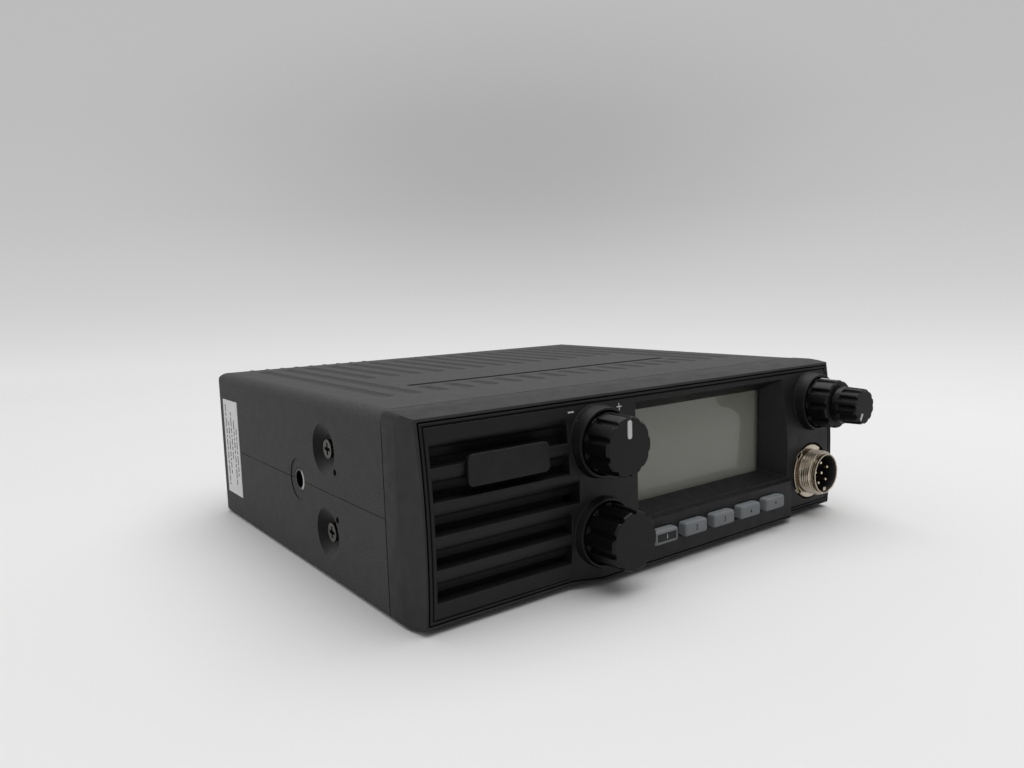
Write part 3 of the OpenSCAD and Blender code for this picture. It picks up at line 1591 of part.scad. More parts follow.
// Each node by its name
top_cover();
bottom_cover();
side_label();
cover_screws();
bracket_inserts();
front_bezel();
front_panel();
name_plate();
display_window();
lcd_panel();
lcd_light_guide();
front_board();
clarifier_knob();
clarifier_pointer();
clarifier_shaft();
clarifier_pot();
channel_knob();
channel_shaft();
channel_plunger();
channel_encoder();
squelch_knob();
squelch_pointer();
squelch_shaft();
volume_knob();
volume_pointer();
volume_shaft();
dual_pot();
control_nuts();
mode_key();
mode_key_inset();
scan_key();
filter_key();
memory_key();
tone_key();
keypad_mat();
mic_shell();
mic_nut();
mic_insulator();
mic_pins();
speaker_basket();
speaker_cone();
speaker_magnet();
speaker_cloth();
chassis();
frame_screws();
main_board();
power_transistors();
shield_can();
capacitors();
tuning_coils();
chips();
ribbon_cable();
rear_heatsink();
antenna_socket();
antenna_insulator();
antenna_contact();
rear_screws();
power_socket();
power_pins();
jack_sockets();
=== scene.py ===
"""Finish of a compact mobile radio: materials, softened edges, threads, keys, prints, light and camera."""
import json
import math

import bmesh
import bpy
from mathutils import Matrix, Vector


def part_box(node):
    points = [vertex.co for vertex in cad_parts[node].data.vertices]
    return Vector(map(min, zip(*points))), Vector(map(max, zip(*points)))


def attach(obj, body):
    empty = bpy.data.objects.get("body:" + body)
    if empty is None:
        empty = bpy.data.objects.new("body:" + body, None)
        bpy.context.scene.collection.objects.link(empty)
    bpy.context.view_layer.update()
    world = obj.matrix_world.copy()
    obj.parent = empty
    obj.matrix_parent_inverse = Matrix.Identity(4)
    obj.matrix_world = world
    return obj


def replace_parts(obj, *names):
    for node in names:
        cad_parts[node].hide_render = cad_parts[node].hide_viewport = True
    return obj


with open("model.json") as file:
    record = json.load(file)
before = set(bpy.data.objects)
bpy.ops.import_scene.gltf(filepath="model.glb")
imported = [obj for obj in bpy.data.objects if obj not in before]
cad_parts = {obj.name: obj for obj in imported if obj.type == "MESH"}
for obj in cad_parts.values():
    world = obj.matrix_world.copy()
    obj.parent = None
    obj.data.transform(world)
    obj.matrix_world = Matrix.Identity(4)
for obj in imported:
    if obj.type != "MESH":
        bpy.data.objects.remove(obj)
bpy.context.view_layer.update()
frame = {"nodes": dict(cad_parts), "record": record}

MM = 0.001

# Camera fitted to the photograph, in millimetres and degrees
CAMERA_AT = (-170.862, -228.802, 81.356)
CAMERA_AZIMUTH = -36.434
CAMERA_ELEVATION = 6.892
CAMERA_ROLL = -1.716
CAMERA_LENS = 27.475

# The bowed front panel: face at its foremost line, that line's height, and the bow's radius
FACE_Y = -75.0
FACE_Z = 20.5
FACE_RADIUS = 202.0

# Distance from the object's middle at which the floor has faded away, in millimetres
FLOOR_FADE = 800.0

# Corners this close in millimetres are one, and faces within this angle in degrees are one flat
WELD_REACH = 0.001
FLAT_ANGLE = 0.5

KEY_BODIES = ["mode", "scan", "filter", "memory", "tone"]


# Colours

def linear(value):
    """Linear light of one screen value from 0 to 255."""
    share = value / 255
    return share / 12.92 if share <= 0.04045 else ((share + 0.055) / 1.055) ** 2.4


def tone(*values):
    """A colour from one grey or three screen values."""
    return (*[linear(v) for v in (values if len(values) == 3 else values * 3)], 1.0)


def set_stops(points, stops):
    """Gives a colour ramp its places and colours, in rising order."""
    points.remove(points[1])
    points[0].position, points[0].color = stops[0]
    for place, colour in stops[1:]:
        points.new(place).color = colour


# Finishes

class Finish:
    """A material: one surface shader with patterns in the object's own coordinates."""

    def __init__(self, name, roughness, metallic=0.0, specular=0.5):
        self.material = bpy.data.materials.new(name)
        self.material.use_nodes = True
        self.nodes = self.material.node_tree.nodes
        self.links = self.material.node_tree.links
        self.shader = self.nodes["Principled BSDF"]
        self.put("Roughness", roughness)
        self.put("Metallic", metallic)
        self.put("Specular IOR Level", specular)
        self.place = self.nodes.new("ShaderNodeTexCoord").outputs["Object"]
        self.normal = None

    def put(self, socket, value):
        self.shader.inputs[socket].default_value = value

    def pattern(self, kind, size, stretch):
        """A texture whose marks are about size millimetres across, before the stretch along X, Y and Z."""
        place = self.nodes.new("ShaderNodeMapping")
        place.inputs["Scale"].default_value = [s / (size * MM) for s in stretch]
        texture = self.nodes.new(kind)
        self.links.new(self.place, place.inputs["Vector"])
        self.links.new(place.outputs["Vector"], texture.inputs["Vector"])
        if "Scale" in texture.inputs:
            texture.inputs["Scale"].default_value = 1.0
        return texture

    def noise(self, size, detail=3.0, stretch=(1, 1, 1)):
        texture = self.pattern("ShaderNodeTexNoise", size, stretch)
        texture.inputs["Detail"].default_value = detail
        return texture.outputs["Fac"]

    def cells(self, size):
        return self.pattern("ShaderNodeTexVoronoi", size, (1, 1, 1)).outputs["Distance"]

    def threads(self, size, direction):
        """Parallel soft ridges, size millimetres apart along one direction."""
        texture = self.pattern("ShaderNodeTexWave", size * 10 / math.pi, (1, 1, 1))
        texture.bands_direction = direction
        texture.inputs["Distortion"].default_value = 0.4
        return texture.outputs["Fac"]

    def combine(self, operation, first, second):
        both = self.nodes.new("ShaderNodeMath")
        both.operation = operation
        self.links.new(first, both.inputs[0])
        self.links.new(second, both.inputs[1])
        return both.outputs["Value"]

    def along(self, axis, start, end):
        """0 to 1 along one axis between two places in millimetres."""
        split = self.nodes.new("ShaderNodeSeparateXYZ")
        self.links.new(self.place, split.inputs["Vector"])
        return self.mapped(split.outputs[axis], start * MM, end * MM, 0.0, 1.0)

    def facing(self, axis, start, end):
        """0 to 1 as the surface turns along one axis, between two shares of its direction."""
        split = self.nodes.new("ShaderNodeSeparateXYZ")
        self.links.new(self.nodes.new("ShaderNodeTexCoord").outputs["Normal"], split.inputs["Vector"])
        return self.mapped(split.outputs[axis], start, end, 0.0, 1.0)

    def mapped(self, pattern, low, high, out_low, out_high):
        """A pattern's values between two limits, stretched to two others."""
        change = self.nodes.new("ShaderNodeMapRange")
        limits = {"From Min": low, "From Max": high, "To Min": out_low, "To Max": out_high}
        for socket, value in limits.items():
            change.inputs[socket].default_value = value
        self.links.new(pattern, change.inputs["Value"])
        return change.outputs["Result"]

    def ramp(self, pattern, stops):
        """Colours at places from 0 to 1 along a pattern."""
        made = self.nodes.new("ShaderNodeValToRGB")
        set_stops(made.color_ramp.elements, stops)
        self.links.new(pattern, made.inputs["Fac"])
        return made.outputs["Color"]

    def blend(self, share, first, second):
        """One colour where the share is 0, the other where it is 1."""
        mix = self.nodes.new("ShaderNodeMix")
        mix.data_type = "RGBA"
        colours = [s for s in mix.inputs if s.type == "RGBA"]
        self.links.new(share, mix.inputs[0])
        self.links.new(first, colours[0])
        self.links.new(second, colours[1])
        self.links.new([s for s in mix.outputs if s.type == "RGBA"][0], self.shader.inputs["Base Color"])

    def colour(self, pattern, *stops):
        self.links.new(self.ramp(pattern, stops), self.shader.inputs["Base Color"])

    def gloss(self, pattern, low, high):
        self.links.new(self.mapped(pattern, 0.3, 0.7, low, high), self.shader.inputs["Roughness"])

    def relief(self, pattern, depth):
        """Raises the surface by the pattern, depth millimetres from its darkest to its lightest."""
        bump = self.nodes.new("ShaderNodeBump")
        bump.inputs["Distance"].default_value = depth * MM
        self.links.new(pattern, bump.inputs["Height"])
        if self.normal:
            self.links.new(self.normal, bump.inputs["Normal"])
        self.normal = bump.outputs["Normal"]
        self.links.new(self.normal, self.shader.inputs["Normal"])


def moulded(name, dark, light, roughness, grain, depth, specular=0.35):
    """Moulded plastic or rubber with a fine spark-eroded grain and slightly uneven tone."""
    made = Finish(name, roughness, specular=specular)
    broad = made.noise(9.0)
    made.colour(broad, (0.3, dark), (0.7, light))
    made.gloss(made.noise(4.0), roughness - 0.06, roughness + 0.06)
    made.relief(made.noise(grain, 2.0), depth)
    return made.material


def metal(name, dark, light, roughness, stretch=(1, 1, 1), depth=0.004):
    """Turned, drawn or cast metal with fine marks along one direction."""
    made = Finish(name, roughness, metallic=1.0)
    marks = made.noise(0.5, 4.0, stretch)
    made.colour(made.noise(3.0, 3.0), (0.3, dark), (0.7, light))
    made.gloss(marks, roughness - 0.08, roughness + 0.1)
    made.relief(marks, depth)
    return made.material


def cover_paint():
    """Wrinkle paint on sheet metal, with painted shade, darker, where the side recesses' walls turn to the
    front.
    """
    made = Finish("cover_paint", 0.7, specular=0.15)
    grain = made.noise(0.5, 2.0)
    paint = made.ramp(grain, [(0.25, tone(66)), (0.5, tone(75)), (0.75, tone(84))])
    # Painted shade: a darker copy of the paint for walls that turn to the front below the top
    painted_shade_tones = made.ramp(grain, [(0.25, tone(26)), (0.5, tone(30)), (0.75, tone(34))])
    walls = made.combine("MULTIPLY", made.facing("Y", -0.1, -0.55), made.along("Z", 50.0, 47.0))
    made.blend(walls, paint, painted_shade_tones)
    made.gloss(made.noise(5.0), 0.66, 0.74)
    made.relief(grain, 0.05)
    return made.material


def knob_plastic():
    """Knobs with a matt front face and a smooth black grip."""
    made = Finish("knob_plastic", 0.4, specular=0.26)
    front = made.facing("Y", -0.6, -0.95)
    made.colour(front, (0.0, tone(13, 13, 14)), (1.0, tone(17, 17, 18)))
    made.links.new(made.mapped(front, 0.0, 1.0, 0.34, 0.62), made.shader.inputs["Roughness"])
    made.relief(made.noise(0.2, 2.0), 0.006)
    return made.material


def panel_plastic():
    """Black front panel: satin, with painted light making the face lighter low down and darker high up, and
    painted shade, nearly black, on what turns down beneath the slats and round the collars.
    """
    made = Finish("panel_plastic", 0.5, specular=0.25)
    height = made.along("Z", 2.0, 51.0)
    # Painted light: the face lighter towards the bottom and darker towards the top
    face = made.ramp(height, [(0.0, tone(30, 30, 31)), (0.45, tone(24, 24, 26)), (1.0, tone(17, 17, 19))])
    # Painted shade: nearly black on faces that turn down beneath the slats and round the collars
    underside_painted_shade = made.ramp(height, [(0.0, tone(5, 5, 6)), (1.0, tone(4, 4, 5))])
    made.blend(made.facing("Z", -0.08, -0.6), face, underside_painted_shade)
    made.gloss(made.noise(4.0), 0.44, 0.56)
    made.relief(made.noise(0.18, 2.0), 0.006)
    return made.material


def insert_metal():
    """A plated insert whose rim is painted over, with painted shade dark towards the back of its bore and a
    painted highlight on its front side.
    """
    made = Finish("insert_metal", 0.35, metallic=1.0)
    # Painted shade at the back of the bore and a painted highlight at its front side
    painted_light_share = made.along("Y", -3.4, -4.6)
    made.colour(painted_light_share, (0.0, tone(30, 30, 30)), (0.5, tone(84, 83, 80)), (1.0, tone(168, 166, 161)))
    made.relief(made.noise(0.4), 0.01)
    return made.material


def lcd_face():
    """A blank grey-green display, a little lighter towards its lower edge as painted light."""
    made = Finish("lcd_face", 0.5, specular=0.2)
    made.put("Coat Weight", 1.0)
    made.put("Coat Roughness", 0.06)
    made.put("Coat IOR", 1.45)
    # Painted light: a little lighter towards the lower edge
    made.colour(made.along("Z", 15.0, 44.0), (0.0, tone(148, 148, 140)), (0.5, tone(146, 146, 136)),
                (1.0, tone(146, 145, 134)))
    made.gloss(made.noise(2.0), 0.45, 0.55)
    return made.material


def clear_window():
    """A clear moulded window, seen by its faint tint; the display behind it carries the gloss."""
    made = Finish("clear_window", 0.05, specular=0.5)
    made.put("Alpha", 0.06)
    made.colour(made.noise(12.0), (0.3, tone(150, 152, 148)), (0.7, tone(160, 161, 156)))
    made.gloss(made.noise(3.0), 0.04, 0.08)
    return made.material


def label_film():
    """White film."""
    made = Finish("label_film", 0.5, specular=0.3)
    made.colour(made.noise(6.0), (0.3, tone(245, 244, 245)), (0.7, tone(250, 249, 250)))
    made.relief(made.noise(0.3), 0.002)
    return made.material


def circuit_board():
    """Green lacquer over copper tracks."""
    made = Finish("circuit_board", 0.35)
    tracks = made.cells(2.4)
    made.colour(tracks, (0.25, tone(20, 66, 40)), (0.45, tone(30, 88, 52)))
    made.relief(tracks, 0.03)
    return made.material


def speaker_fabric():
    """Black open-weave cloth."""
    made = Finish("speaker_fabric", 0.9, specular=0.2)
    weave = made.combine("MAXIMUM", made.threads(0.5, "X"), made.threads(0.5, "Z"))
    made.colour(weave, (0.2, tone(4, 4, 5)), (0.9, tone(20, 20, 22)))
    made.relief(weave, 0.15)
    return made.material


def light_guide():
    """Milky plastic with a fine dimpled face."""
    made = Finish("light_guide", 0.4)
    made.colour(made.noise(5.0), (0.3, tone(222, 222, 212)), (0.7, tone(234, 234, 226)))
    made.relief(made.cells(1.2), 0.02)
    return made.material


# Finishes with a function of their own
OWN_FINISHES = {
    "cover_paint": cover_paint,
    "label_film": label_film,
    "clear_window": clear_window,
    "lcd_face": lcd_face,
    "light_guide": light_guide,
    "circuit_board": circuit_board,
    "speaker_fabric": speaker_fabric,
    "panel_plastic": panel_plastic,
    "knob_plastic": knob_plastic,
}

# Moulded pieces: dark and light tone, roughness, the grain's size and depth in millimetres, specular
MOULDED = {
    "bezel_plastic": (tone(47, 47, 48), tone(53, 53, 54), 0.55, 0.22, 0.008, 0.22),
    "white_mark": (tone(206, 208, 206), tone(220, 221, 219), 0.5, 0.3, 0.003),
    "key_rubber": (tone(117, 121, 124), tone(126, 129, 131), 0.55, 0.25, 0.006),
    "mat_rubber": (tone(108, 110, 112), tone(120, 122, 124), 0.6, 0.4, 0.01),
    "black_insulator": (tone(13, 13, 13), tone(20, 20, 20), 0.45, 0.3, 0.006),
    "white_insulator": (tone(222, 220, 212), tone(232, 230, 224), 0.45, 0.3, 0.005),
    "control_body": (tone(58, 62, 66), tone(72, 76, 80), 0.45, 0.5, 0.01),
    "speaker_paper": (tone(24, 23, 22), tone(38, 36, 34), 0.8, 0.6, 0.05),
    "capacitor_sleeve": (tone(24, 28, 52), tone(32, 36, 66), 0.35, 0.8, 0.005),
    "ribbon_plastic": (tone(128, 132, 138), tone(146, 150, 154), 0.4, 0.7, 0.02),
}

# Metal pieces: dark and light tone, roughness, and the marks' stretch and depth in millimetres
METALS = {
    "black_screw": (tone(44, 43, 41), tone(78, 76, 73), 0.24, (1, 1, 1), 0.03),
    "plated_steel": (tone(150, 148, 142), tone(172, 170, 165), 0.34),
    "nickel": (tone(176, 165, 149), tone(198, 187, 171), 0.24, (0.15, 0.5, 0.15), 0.001),
    "contact_metal": (tone(205, 192, 160), tone(224, 214, 188), 0.25),
    "magnet_iron": (tone(60, 60, 64), tone(84, 84, 86), 0.5),
    "chassis_metal": (tone(158, 158, 156), tone(180, 180, 178), 0.4, (0.3, 3, 3)),
    "heatsink_metal": (tone(40, 40, 41), tone(54, 54, 55), 0.5, (2, 2, 0.3), 0.01),
}


def finish_all():
    """One material per slot, put on the CAD pieces."""
    made = {slot: build() for slot, build in OWN_FINISHES.items()}
    made.update({slot: moulded(slot, *looks) for slot, looks in MOULDED.items()})
    made.update({slot: metal(slot, *looks) for slot, looks in METALS.items()})
    for part in frame["record"]["subparts"]:
        data = frame["nodes"][part["node"]].data
        data.materials.clear()
        data.materials.append(made[part["material_slot"]])
    inserts = frame["nodes"]["bracket_inserts"].data.materials
    inserts.clear()
    inserts.append(insert_metal())
    return made


# Softened edges of the CAD pieces: radius in millimetres and steps; the covers are rounded in CAD

EDGES = {
    "front_bezel": (0.2, 2), "front_panel": (0.2, 2), "name_plate": (0.25, 3),
    "clarifier_knob": (0.2, 2), "channel_knob": (0.2, 2), "squelch_knob": (0.2, 2), "volume_knob": (0.2, 2),
    "cover_screws": (0.1, 2), "bracket_inserts": (0.2, 2), "mic_nut": (0.3, 3), "rear_heatsink": (0.25, 2),
    "power_socket": (0.25, 2), "jack_sockets": (0.15, 2), "rear_screws": (0.1, 2),
    "mode_key_inset": (0.08, 2), "mic_pins": (0.3, 3),
}


def soften(node, radius, steps):
    """Rounds a CAD piece's sharp edges with modifiers, on whole flat faces."""
    piece = frame["nodes"][node]
    weld = piece.modifiers.new("weld", "WELD")
    weld.merge_threshold = WELD_REACH * MM
    flat = piece.modifiers.new("flat", "DECIMATE")
    flat.decimate_type = "DISSOLVE"
    flat.angle_limit = math.radians(FLAT_ANGLE)
    edge = piece.modifiers.new("edge", "BEVEL")
    edge.width = radius * MM
    edge.segments = steps
    edge.limit_method = "ANGLE"
    edge.angle_limit = math.radians(35)
    edge.use_clamp_overlap = False
    edge.harden_normals = False
    shading = piece.modifiers.new("shading", "WEIGHTED_NORMAL")
    shading.keep_sharp = False


# New pieces

def face_y(z):
    """Front of the bowed panel at a height, in millimetres."""
    return FACE_Y + FACE_RADIUS - math.sqrt(FACE_RADIUS ** 2 - (z - FACE_Z) ** 2)


def add(name, mesh, body, slot, finishes, smooth=40.0):
    """A piece that rides on a body, with smooth shading up to an angle."""
    mesh.polygons.foreach_set("use_smooth", [True] * len(mesh.polygons))
    mesh.set_sharp_from_angle(angle=math.radians(smooth))
    mesh.materials.clear()
    mesh.materials.append(finishes[slot])
    piece = bpy.data.objects.new(name, mesh)
    bpy.context.scene.collection.objects.link(piece)
    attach(piece, body)
    return piece


def welded(node):
    """A CAD piece's skin with its corners joined and its flat faces whole."""
    work = bmesh.new()
    work.from_mesh(frame["nodes"][node].data)
    bmesh.ops.remove_doubles(work, verts=work.verts, dist=WELD_REACH * MM)
    bmesh.ops.dissolve_limit(work, angle_limit=math.radians(FLAT_ANGLE), verts=work.verts, edges=work.edges)
    return work


def to_mesh(work, name):
    mesh = bpy.data.meshes.new(name)
    work.to_mesh(mesh)
    work.free()
    mesh.update()
    return mesh


def thread_profile(turn):
    """Depth, from 0 at the crest to 1 at the root, at a share of one turn."""
    return min(1.0, max(0.0, (abs(2 * (turn % 1.0) - 1) - 0.12) / 0.76))


def middle(node):
    """Middle of a CAD piece across its front, in millimetres."""
    low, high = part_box(node)
    return (low.x + high.x) / 2 / MM, (low.z + high.z) / 2 / MM


def thread(start, end, pitch, crest, depth, rows_per_turn=10):
    """Rows of a screw thread for a turned ring, from start to end along Y in millimetres."""
    count = round((end - start) / pitch * rows_per_turn)
    rows = []
    for row in range(count + 1):
        place = start + (end - start) * row / count
        fade = min(1.0, (place - start) / (0.6 * pitch), (end - place) / (0.6 * pitch))
        rows.append((place, lambda turn, place=place, fade=fade:
                     crest - depth * (1 - fade + fade * thread_profile((place - start) / pitch - turn))))
    return rows


def turn_ring(work, centre, path, sides=96):
    """A closed ring round a line along Y: the path gives places along Y and radii in millimetres."""
    rings = []
    for place, reach in path:
        ring = []
        for side in range(sides):
            turn = side / sides
            wall = reach(turn) if callable(reach) else reach
            ring.append(work.verts.new(((centre[0] + wall * math.cos(turn * 2 * math.pi)) * MM, place * MM,
                                        (centre[1] + wall * math.sin(turn * 2 * math.pi)) * MM)))
        rings.append(ring)
    for one, two in zip(rings, rings[1:] + rings[:1]):
        for side in range(sides):
            nxt = (side + 1) % sides
            work.faces.new((one[side], one[nxt], two[nxt], two[side]))


def slab(work, x0, x1, y0, y1, z0, z1):
    """A block between two corners in millimetres."""
    size = Vector((x1 - x0, y1 - y0, z1 - z0)) * MM
    place = Matrix.Translation(Vector((x0 + x1, y0 + y1, z0 + z1)) * MM / 2)
    return bmesh.ops.create_cube(work, size=1.0, matrix=place @ Matrix.Diagonal((*size, 1.0)))["verts"]


def sockets(finishes):
    """Microphone and antenna sockets with real threads, and a dark sleeve of painted shade in the microphone's
    mouth.
    """
    low, high = (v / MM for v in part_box("mic_shell"))
    x, z = middle("mic_shell")
    front, back = low.y, high.y
    work = bmesh.new()
    turn_ring(work, (x, z), [
        (front, 6.7), (front + 0.12, 6.85), (front + 0.75, 6.85), (front + 0.85, 6.55), (front + 1.1, 6.55),
        (front + 1.25, 7.25), *thread(front + 1.3, front + 6.05, 0.76, 7.7, 0.45), (front + 6.1, 7.2),
        (front + 10.6, 7.2), (front + 10.6, 8.2), (front + 12.1, 8.2), (front + 12.1, 7.2), (back, 7.2),
        (back, 6.0), (front + 0.9, 6.0), (front + 0.12, 6.42), (front, 6.5)])
    slab(work, x - 0.8, x + 0.8, front + 0.6, front + 7.1, z - 6.3, z - 4.8)
    bmesh.ops.recalc_face_normals(work, faces=work.faces)
    piece = add("mic_socket_threaded", to_mesh(work, "mic_socket_threaded"), "case", "nickel", finishes)
    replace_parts(piece, "mic_shell")
    # Painted shade: a black sleeve over the wall inside the microphone's bore
    work = bmesh.new()
    turn_ring(work, (x, z), [
        (front + 0.16, 6.38), (front + 0.95, 5.98), (front + 7.0, 5.98), (front + 7.0, 5.8),
        (front + 0.9, 5.8), (front + 0.16, 6.28)])
    bmesh.ops.recalc_face_normals(work, faces=work.faces)
    add("mic_socket_shade_sleeve", to_mesh(work, "mic_socket_shade_sleeve"), "case", "black_insulator", finishes)

    work = welded("antenna_socket")
    flange = 75.0
    barrel = [f for f in work.faces if f.calc_center_median().y / MM > flange + 0.01]
    bmesh.ops.delete(work, geom=barrel, context="FACES")
    turn_ring(work, middle("antenna_socket"), [
        (flange - 0.5, 7.4), (flange, 7.4), *thread(flange + 0.2, 87.6, 1.06, 7.94, 0.55), (88.0, 7.4),
        (88.0, 6.25), (87.8, 6.04), (flange - 0.5, 6.04)])
    bmesh.ops.recalc_face_normals(work, faces=work.faces)
    mesh = to_mesh(work, "antenna_socket_threaded")
    piece = add("antenna_socket_threaded", mesh, "case", "nickel", finishes)
    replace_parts(piece, "antenna_socket")


def window(finishes):
    """The clear window with softened edges, just clear of the display behind it."""
    low, high = (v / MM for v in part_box("display_window"))
    work = bmesh.new()
    slab(work, low.x, high.x, low.y, high.y - 0.1, low.z, high.z)
    bmesh.ops.bevel(work, geom=work.edges[:], offset=0.2 * MM, segments=2, profile=0.5, affect="EDGES")
    piece = add("display_window_pane", to_mesh(work, "display_window_pane"), "case", "clear_window", finishes)
    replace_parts(piece, "display_window")


def keys(finishes):
    """Soft pillow keys: the CAD keys with well rounded front edges."""
    for body in KEY_BODIES:
        node = body + "_key"
        work = welded(node)
        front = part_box(node)[0].y
        rim = []
        for edge in work.edges:
            if not all(abs(v.co.y - front) < 0.01 * MM for v in edge.verts):
                continue
            halfway = (edge.verts[0].co + edge.verts[1].co) / 2
            if any(abs(f.normal.y) < 0.5 for f in edge.link_faces):
                rim.append((edge, halfway))
        centre = sum((m for e, m in rim), Vector()) / len(rim)
        outer = [e for e, m in rim if abs(m.x - centre.x) > 4.2 * MM or abs(m.z - centre.z) > 1.6 * MM]
        bmesh.ops.bevel(work, geom=outer, offset=0.75 * MM, offset_type="OFFSET", segments=5, profile=0.5,
                        affect="EDGES", clamp_overlap=False)
        bmesh.ops.recalc_face_normals(work, faces=work.faces)
        mesh = to_mesh(work, node + "_cap")
        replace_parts(add(node + "_cap", mesh, body, "key_rubber", finishes, 50.0), node)


def cloth(finishes):
    """Speaker cloth, stretched flat behind the louvres, slightly slack between its edges."""
    low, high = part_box("speaker_cloth")
    across, up = 40, 24
    slack = 0.12
    work = bmesh.new()

    def knot(y, i, j):
        """One corner of the cloth's grid."""
        sag = slack * MM * math.sin(math.pi * i / across) * math.sin(math.pi * j / up)
        return work.verts.new((low.x + (high.x - low.x) * i / across, y + sag,
                               low.z + (high.z - low.z) * j / up))

    skins = [[[knot(y, i, j) for i in range(across + 1)] for j in range(up + 1)] for y in (low.y, high.y)]
    for skin in skins:
        for j in range(up):
            for i in range(across):
                work.faces.new((skin[j][i], skin[j][i + 1], skin[j + 1][i + 1], skin[j + 1][i]))
    rims = [s[0] + [row[across] for row in s[1:]] + s[up][-2::-1] + [row[0] for row in s[-2:0:-1]]
            for s in skins]
    for i in range(len(rims[0])):
        nxt = (i + 1) % len(rims[0])
        work.faces.new((rims[0][i], rims[0][nxt], rims[1][nxt], rims[1][i]))
    bmesh.ops.recalc_face_normals(work, faces=work.faces)
    mesh = to_mesh(work, "speaker_cloth_sheet")
    piece = add("speaker_cloth_sheet", mesh, "case", "speaker_fabric", finishes)
    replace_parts(piece, "speaker_cloth")


def print_at(name, outlines, place, tilt, body, slot, finishes):
    """Flat ink shapes, drawn in millimetres as seen from the front, on a surface that leans back by tilt."""
    work = bmesh.new()
    for outline in outlines:
        fronts = [work.verts.new((x * MM, z * MM, 0.03 * MM)) for x, z in outline]
        backs = [work.verts.new((x * MM, z * MM, -0.05 * MM)) for x, z in outline]
        work.faces.new(fronts)
        work.faces.new(backs[::-1])
        for i in range(len(outline)):
            nxt = (i + 1) % len(outline)
            work.faces.new((fronts[nxt], fronts[i], backs[i], backs[nxt]))
    bmesh.ops.recalc_face_normals(work, faces=work.faces)
    mesh = to_mesh(work, name)
    mesh.transform(Matrix.Translation(Vector(place) * MM) @ Matrix.Rotation(math.pi / 2 - tilt, 4, "X"))
    add(name, mesh, body, slot, finishes)


def bar(w, h, x=0.0, z=0.0):
    """Corners of a flat rectangle round a middle."""
    return [(x - w / 2, z - h / 2), (x + w / 2, z - h / 2), (x + w / 2, z + h / 2), (x - w / 2, z + h / 2)]


def digit(name, words, size, place, body, slot, finishes):
    """A plain number in ink on a front face."""
    curve = bpy.data.curves.new(name, "FONT")
    curve.body = words
    curve.size = size * MM
    curve.extrude = 0.03 * MM
    curve.align_x = "CENTER"
    curve.align_y = "CENTER"
    drawn = bpy.data.objects.new(name + "_drawn", curve)
    bpy.context.scene.collection.objects.link(drawn)
    bpy.context.view_layer.update()
    mesh = bpy.data.meshes.new_from_object(drawn.evaluated_get(bpy.context.evaluated_depsgraph_get()))
    bpy.data.objects.remove(drawn)
    mesh.name = name
    mesh.transform(Matrix.Translation(Vector(place) * MM) @ Matrix.Rotation(math.pi / 2, 4, "X"))
    add(name, mesh, body, slot, finishes)


def prints(finishes):
    """Minus and plus beside the upper left knob, and plain numbers and triangles on the keys."""
    minus = [bar(2.0, 0.4)]
    plus = [bar(1.9, 0.3), bar(0.3, 0.85, 0, 0.575), bar(0.3, 0.85, 0, -0.575)]
    for name, x, z, shapes in (("minus_mark", -36.8, 48.55, minus), ("plus_mark", -19.1, 48.1, plus)):
        lean = math.asin((z - FACE_Z) / FACE_RADIUS)
        print_at(name, shapes, (x, face_y(z), z), lean, "case", "white_mark", finishes)
    for body, words in (("scan", "2"), ("filter", "3")):
        x, z = middle(body + "_key")
        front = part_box(body + "_key")[0].y / MM
        digit(body + "_number", words, 2.3, (x, front, z), body, "black_insulator", finishes)
    x, z = middle("mode_key")
    digit("mode_number", "1", 1.9, (x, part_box("mode_key_inset")[0].y / MM, z), "mode", "white_mark", finishes)
    for body, way in (("memory", 1), ("tone", -1)):
        x, z = middle(body + "_key")
        print_at(body + "_arrow", [[(-0.6, -0.5 * way), (0.6, -0.5 * way), (0.0, 0.55 * way)][::way]],
                 (x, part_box(body + "_key")[0].y / MM, z), 0.0, body, "black_insulator", finishes)


# Rows of the side label: place across it, and the shares of its height where the row begins and ends
LABEL_ROWS = ((0.84, 0.95, 0.04), (0.66, 0.77, 0.2), (0.49, 0.88, 0.36), (0.31, 0.8, 0.08),
              (0.15, 0.72, 0.14))
LABEL_DASHES = (2.6, 1.3, 3.4, 1.9, 0.9, 2.3, 1.5)
LABEL_GAP = 0.6


def label_lines(finishes):
    """Rows of grey dashes on the side label, in place of small print."""
    low, high = (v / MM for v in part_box("side_label"))
    work = bmesh.new()
    dash = 0
    for across, top, bottom in LABEL_ROWS:
        y = low.y + (high.y - low.y) * across
        z = low.z + (high.z - low.z) * top
        while True:
            length = LABEL_DASHES[dash % len(LABEL_DASHES)]
            dash += 1
            if z - length < low.z + (high.z - low.z) * bottom:
                break
            slab(work, low.x - 0.02, low.x + 0.05, y - 0.45, y + 0.45, z - length, z)
            z -= length + LABEL_GAP
    add("label_lines", to_mesh(work, "label_lines"), "case", "mat_rubber", finishes)


# Stage

def seen_rays(nodes, links):
    """1 for what is seen, mirrored or looked through, 0 for the light that surfaces scatter."""
    rays = nodes.new("ShaderNodeLightPath")
    share = rays.outputs["Is Camera Ray"]
    for kind in ("Is Glossy Ray", "Is Transmission Ray"):
        either = nodes.new("ShaderNodeMath")
        either.operation = "MAXIMUM"
        links.new(share, either.inputs[0])
        links.new(rays.outputs[kind], either.inputs[1])
        share = either.outputs["Value"]
    return share


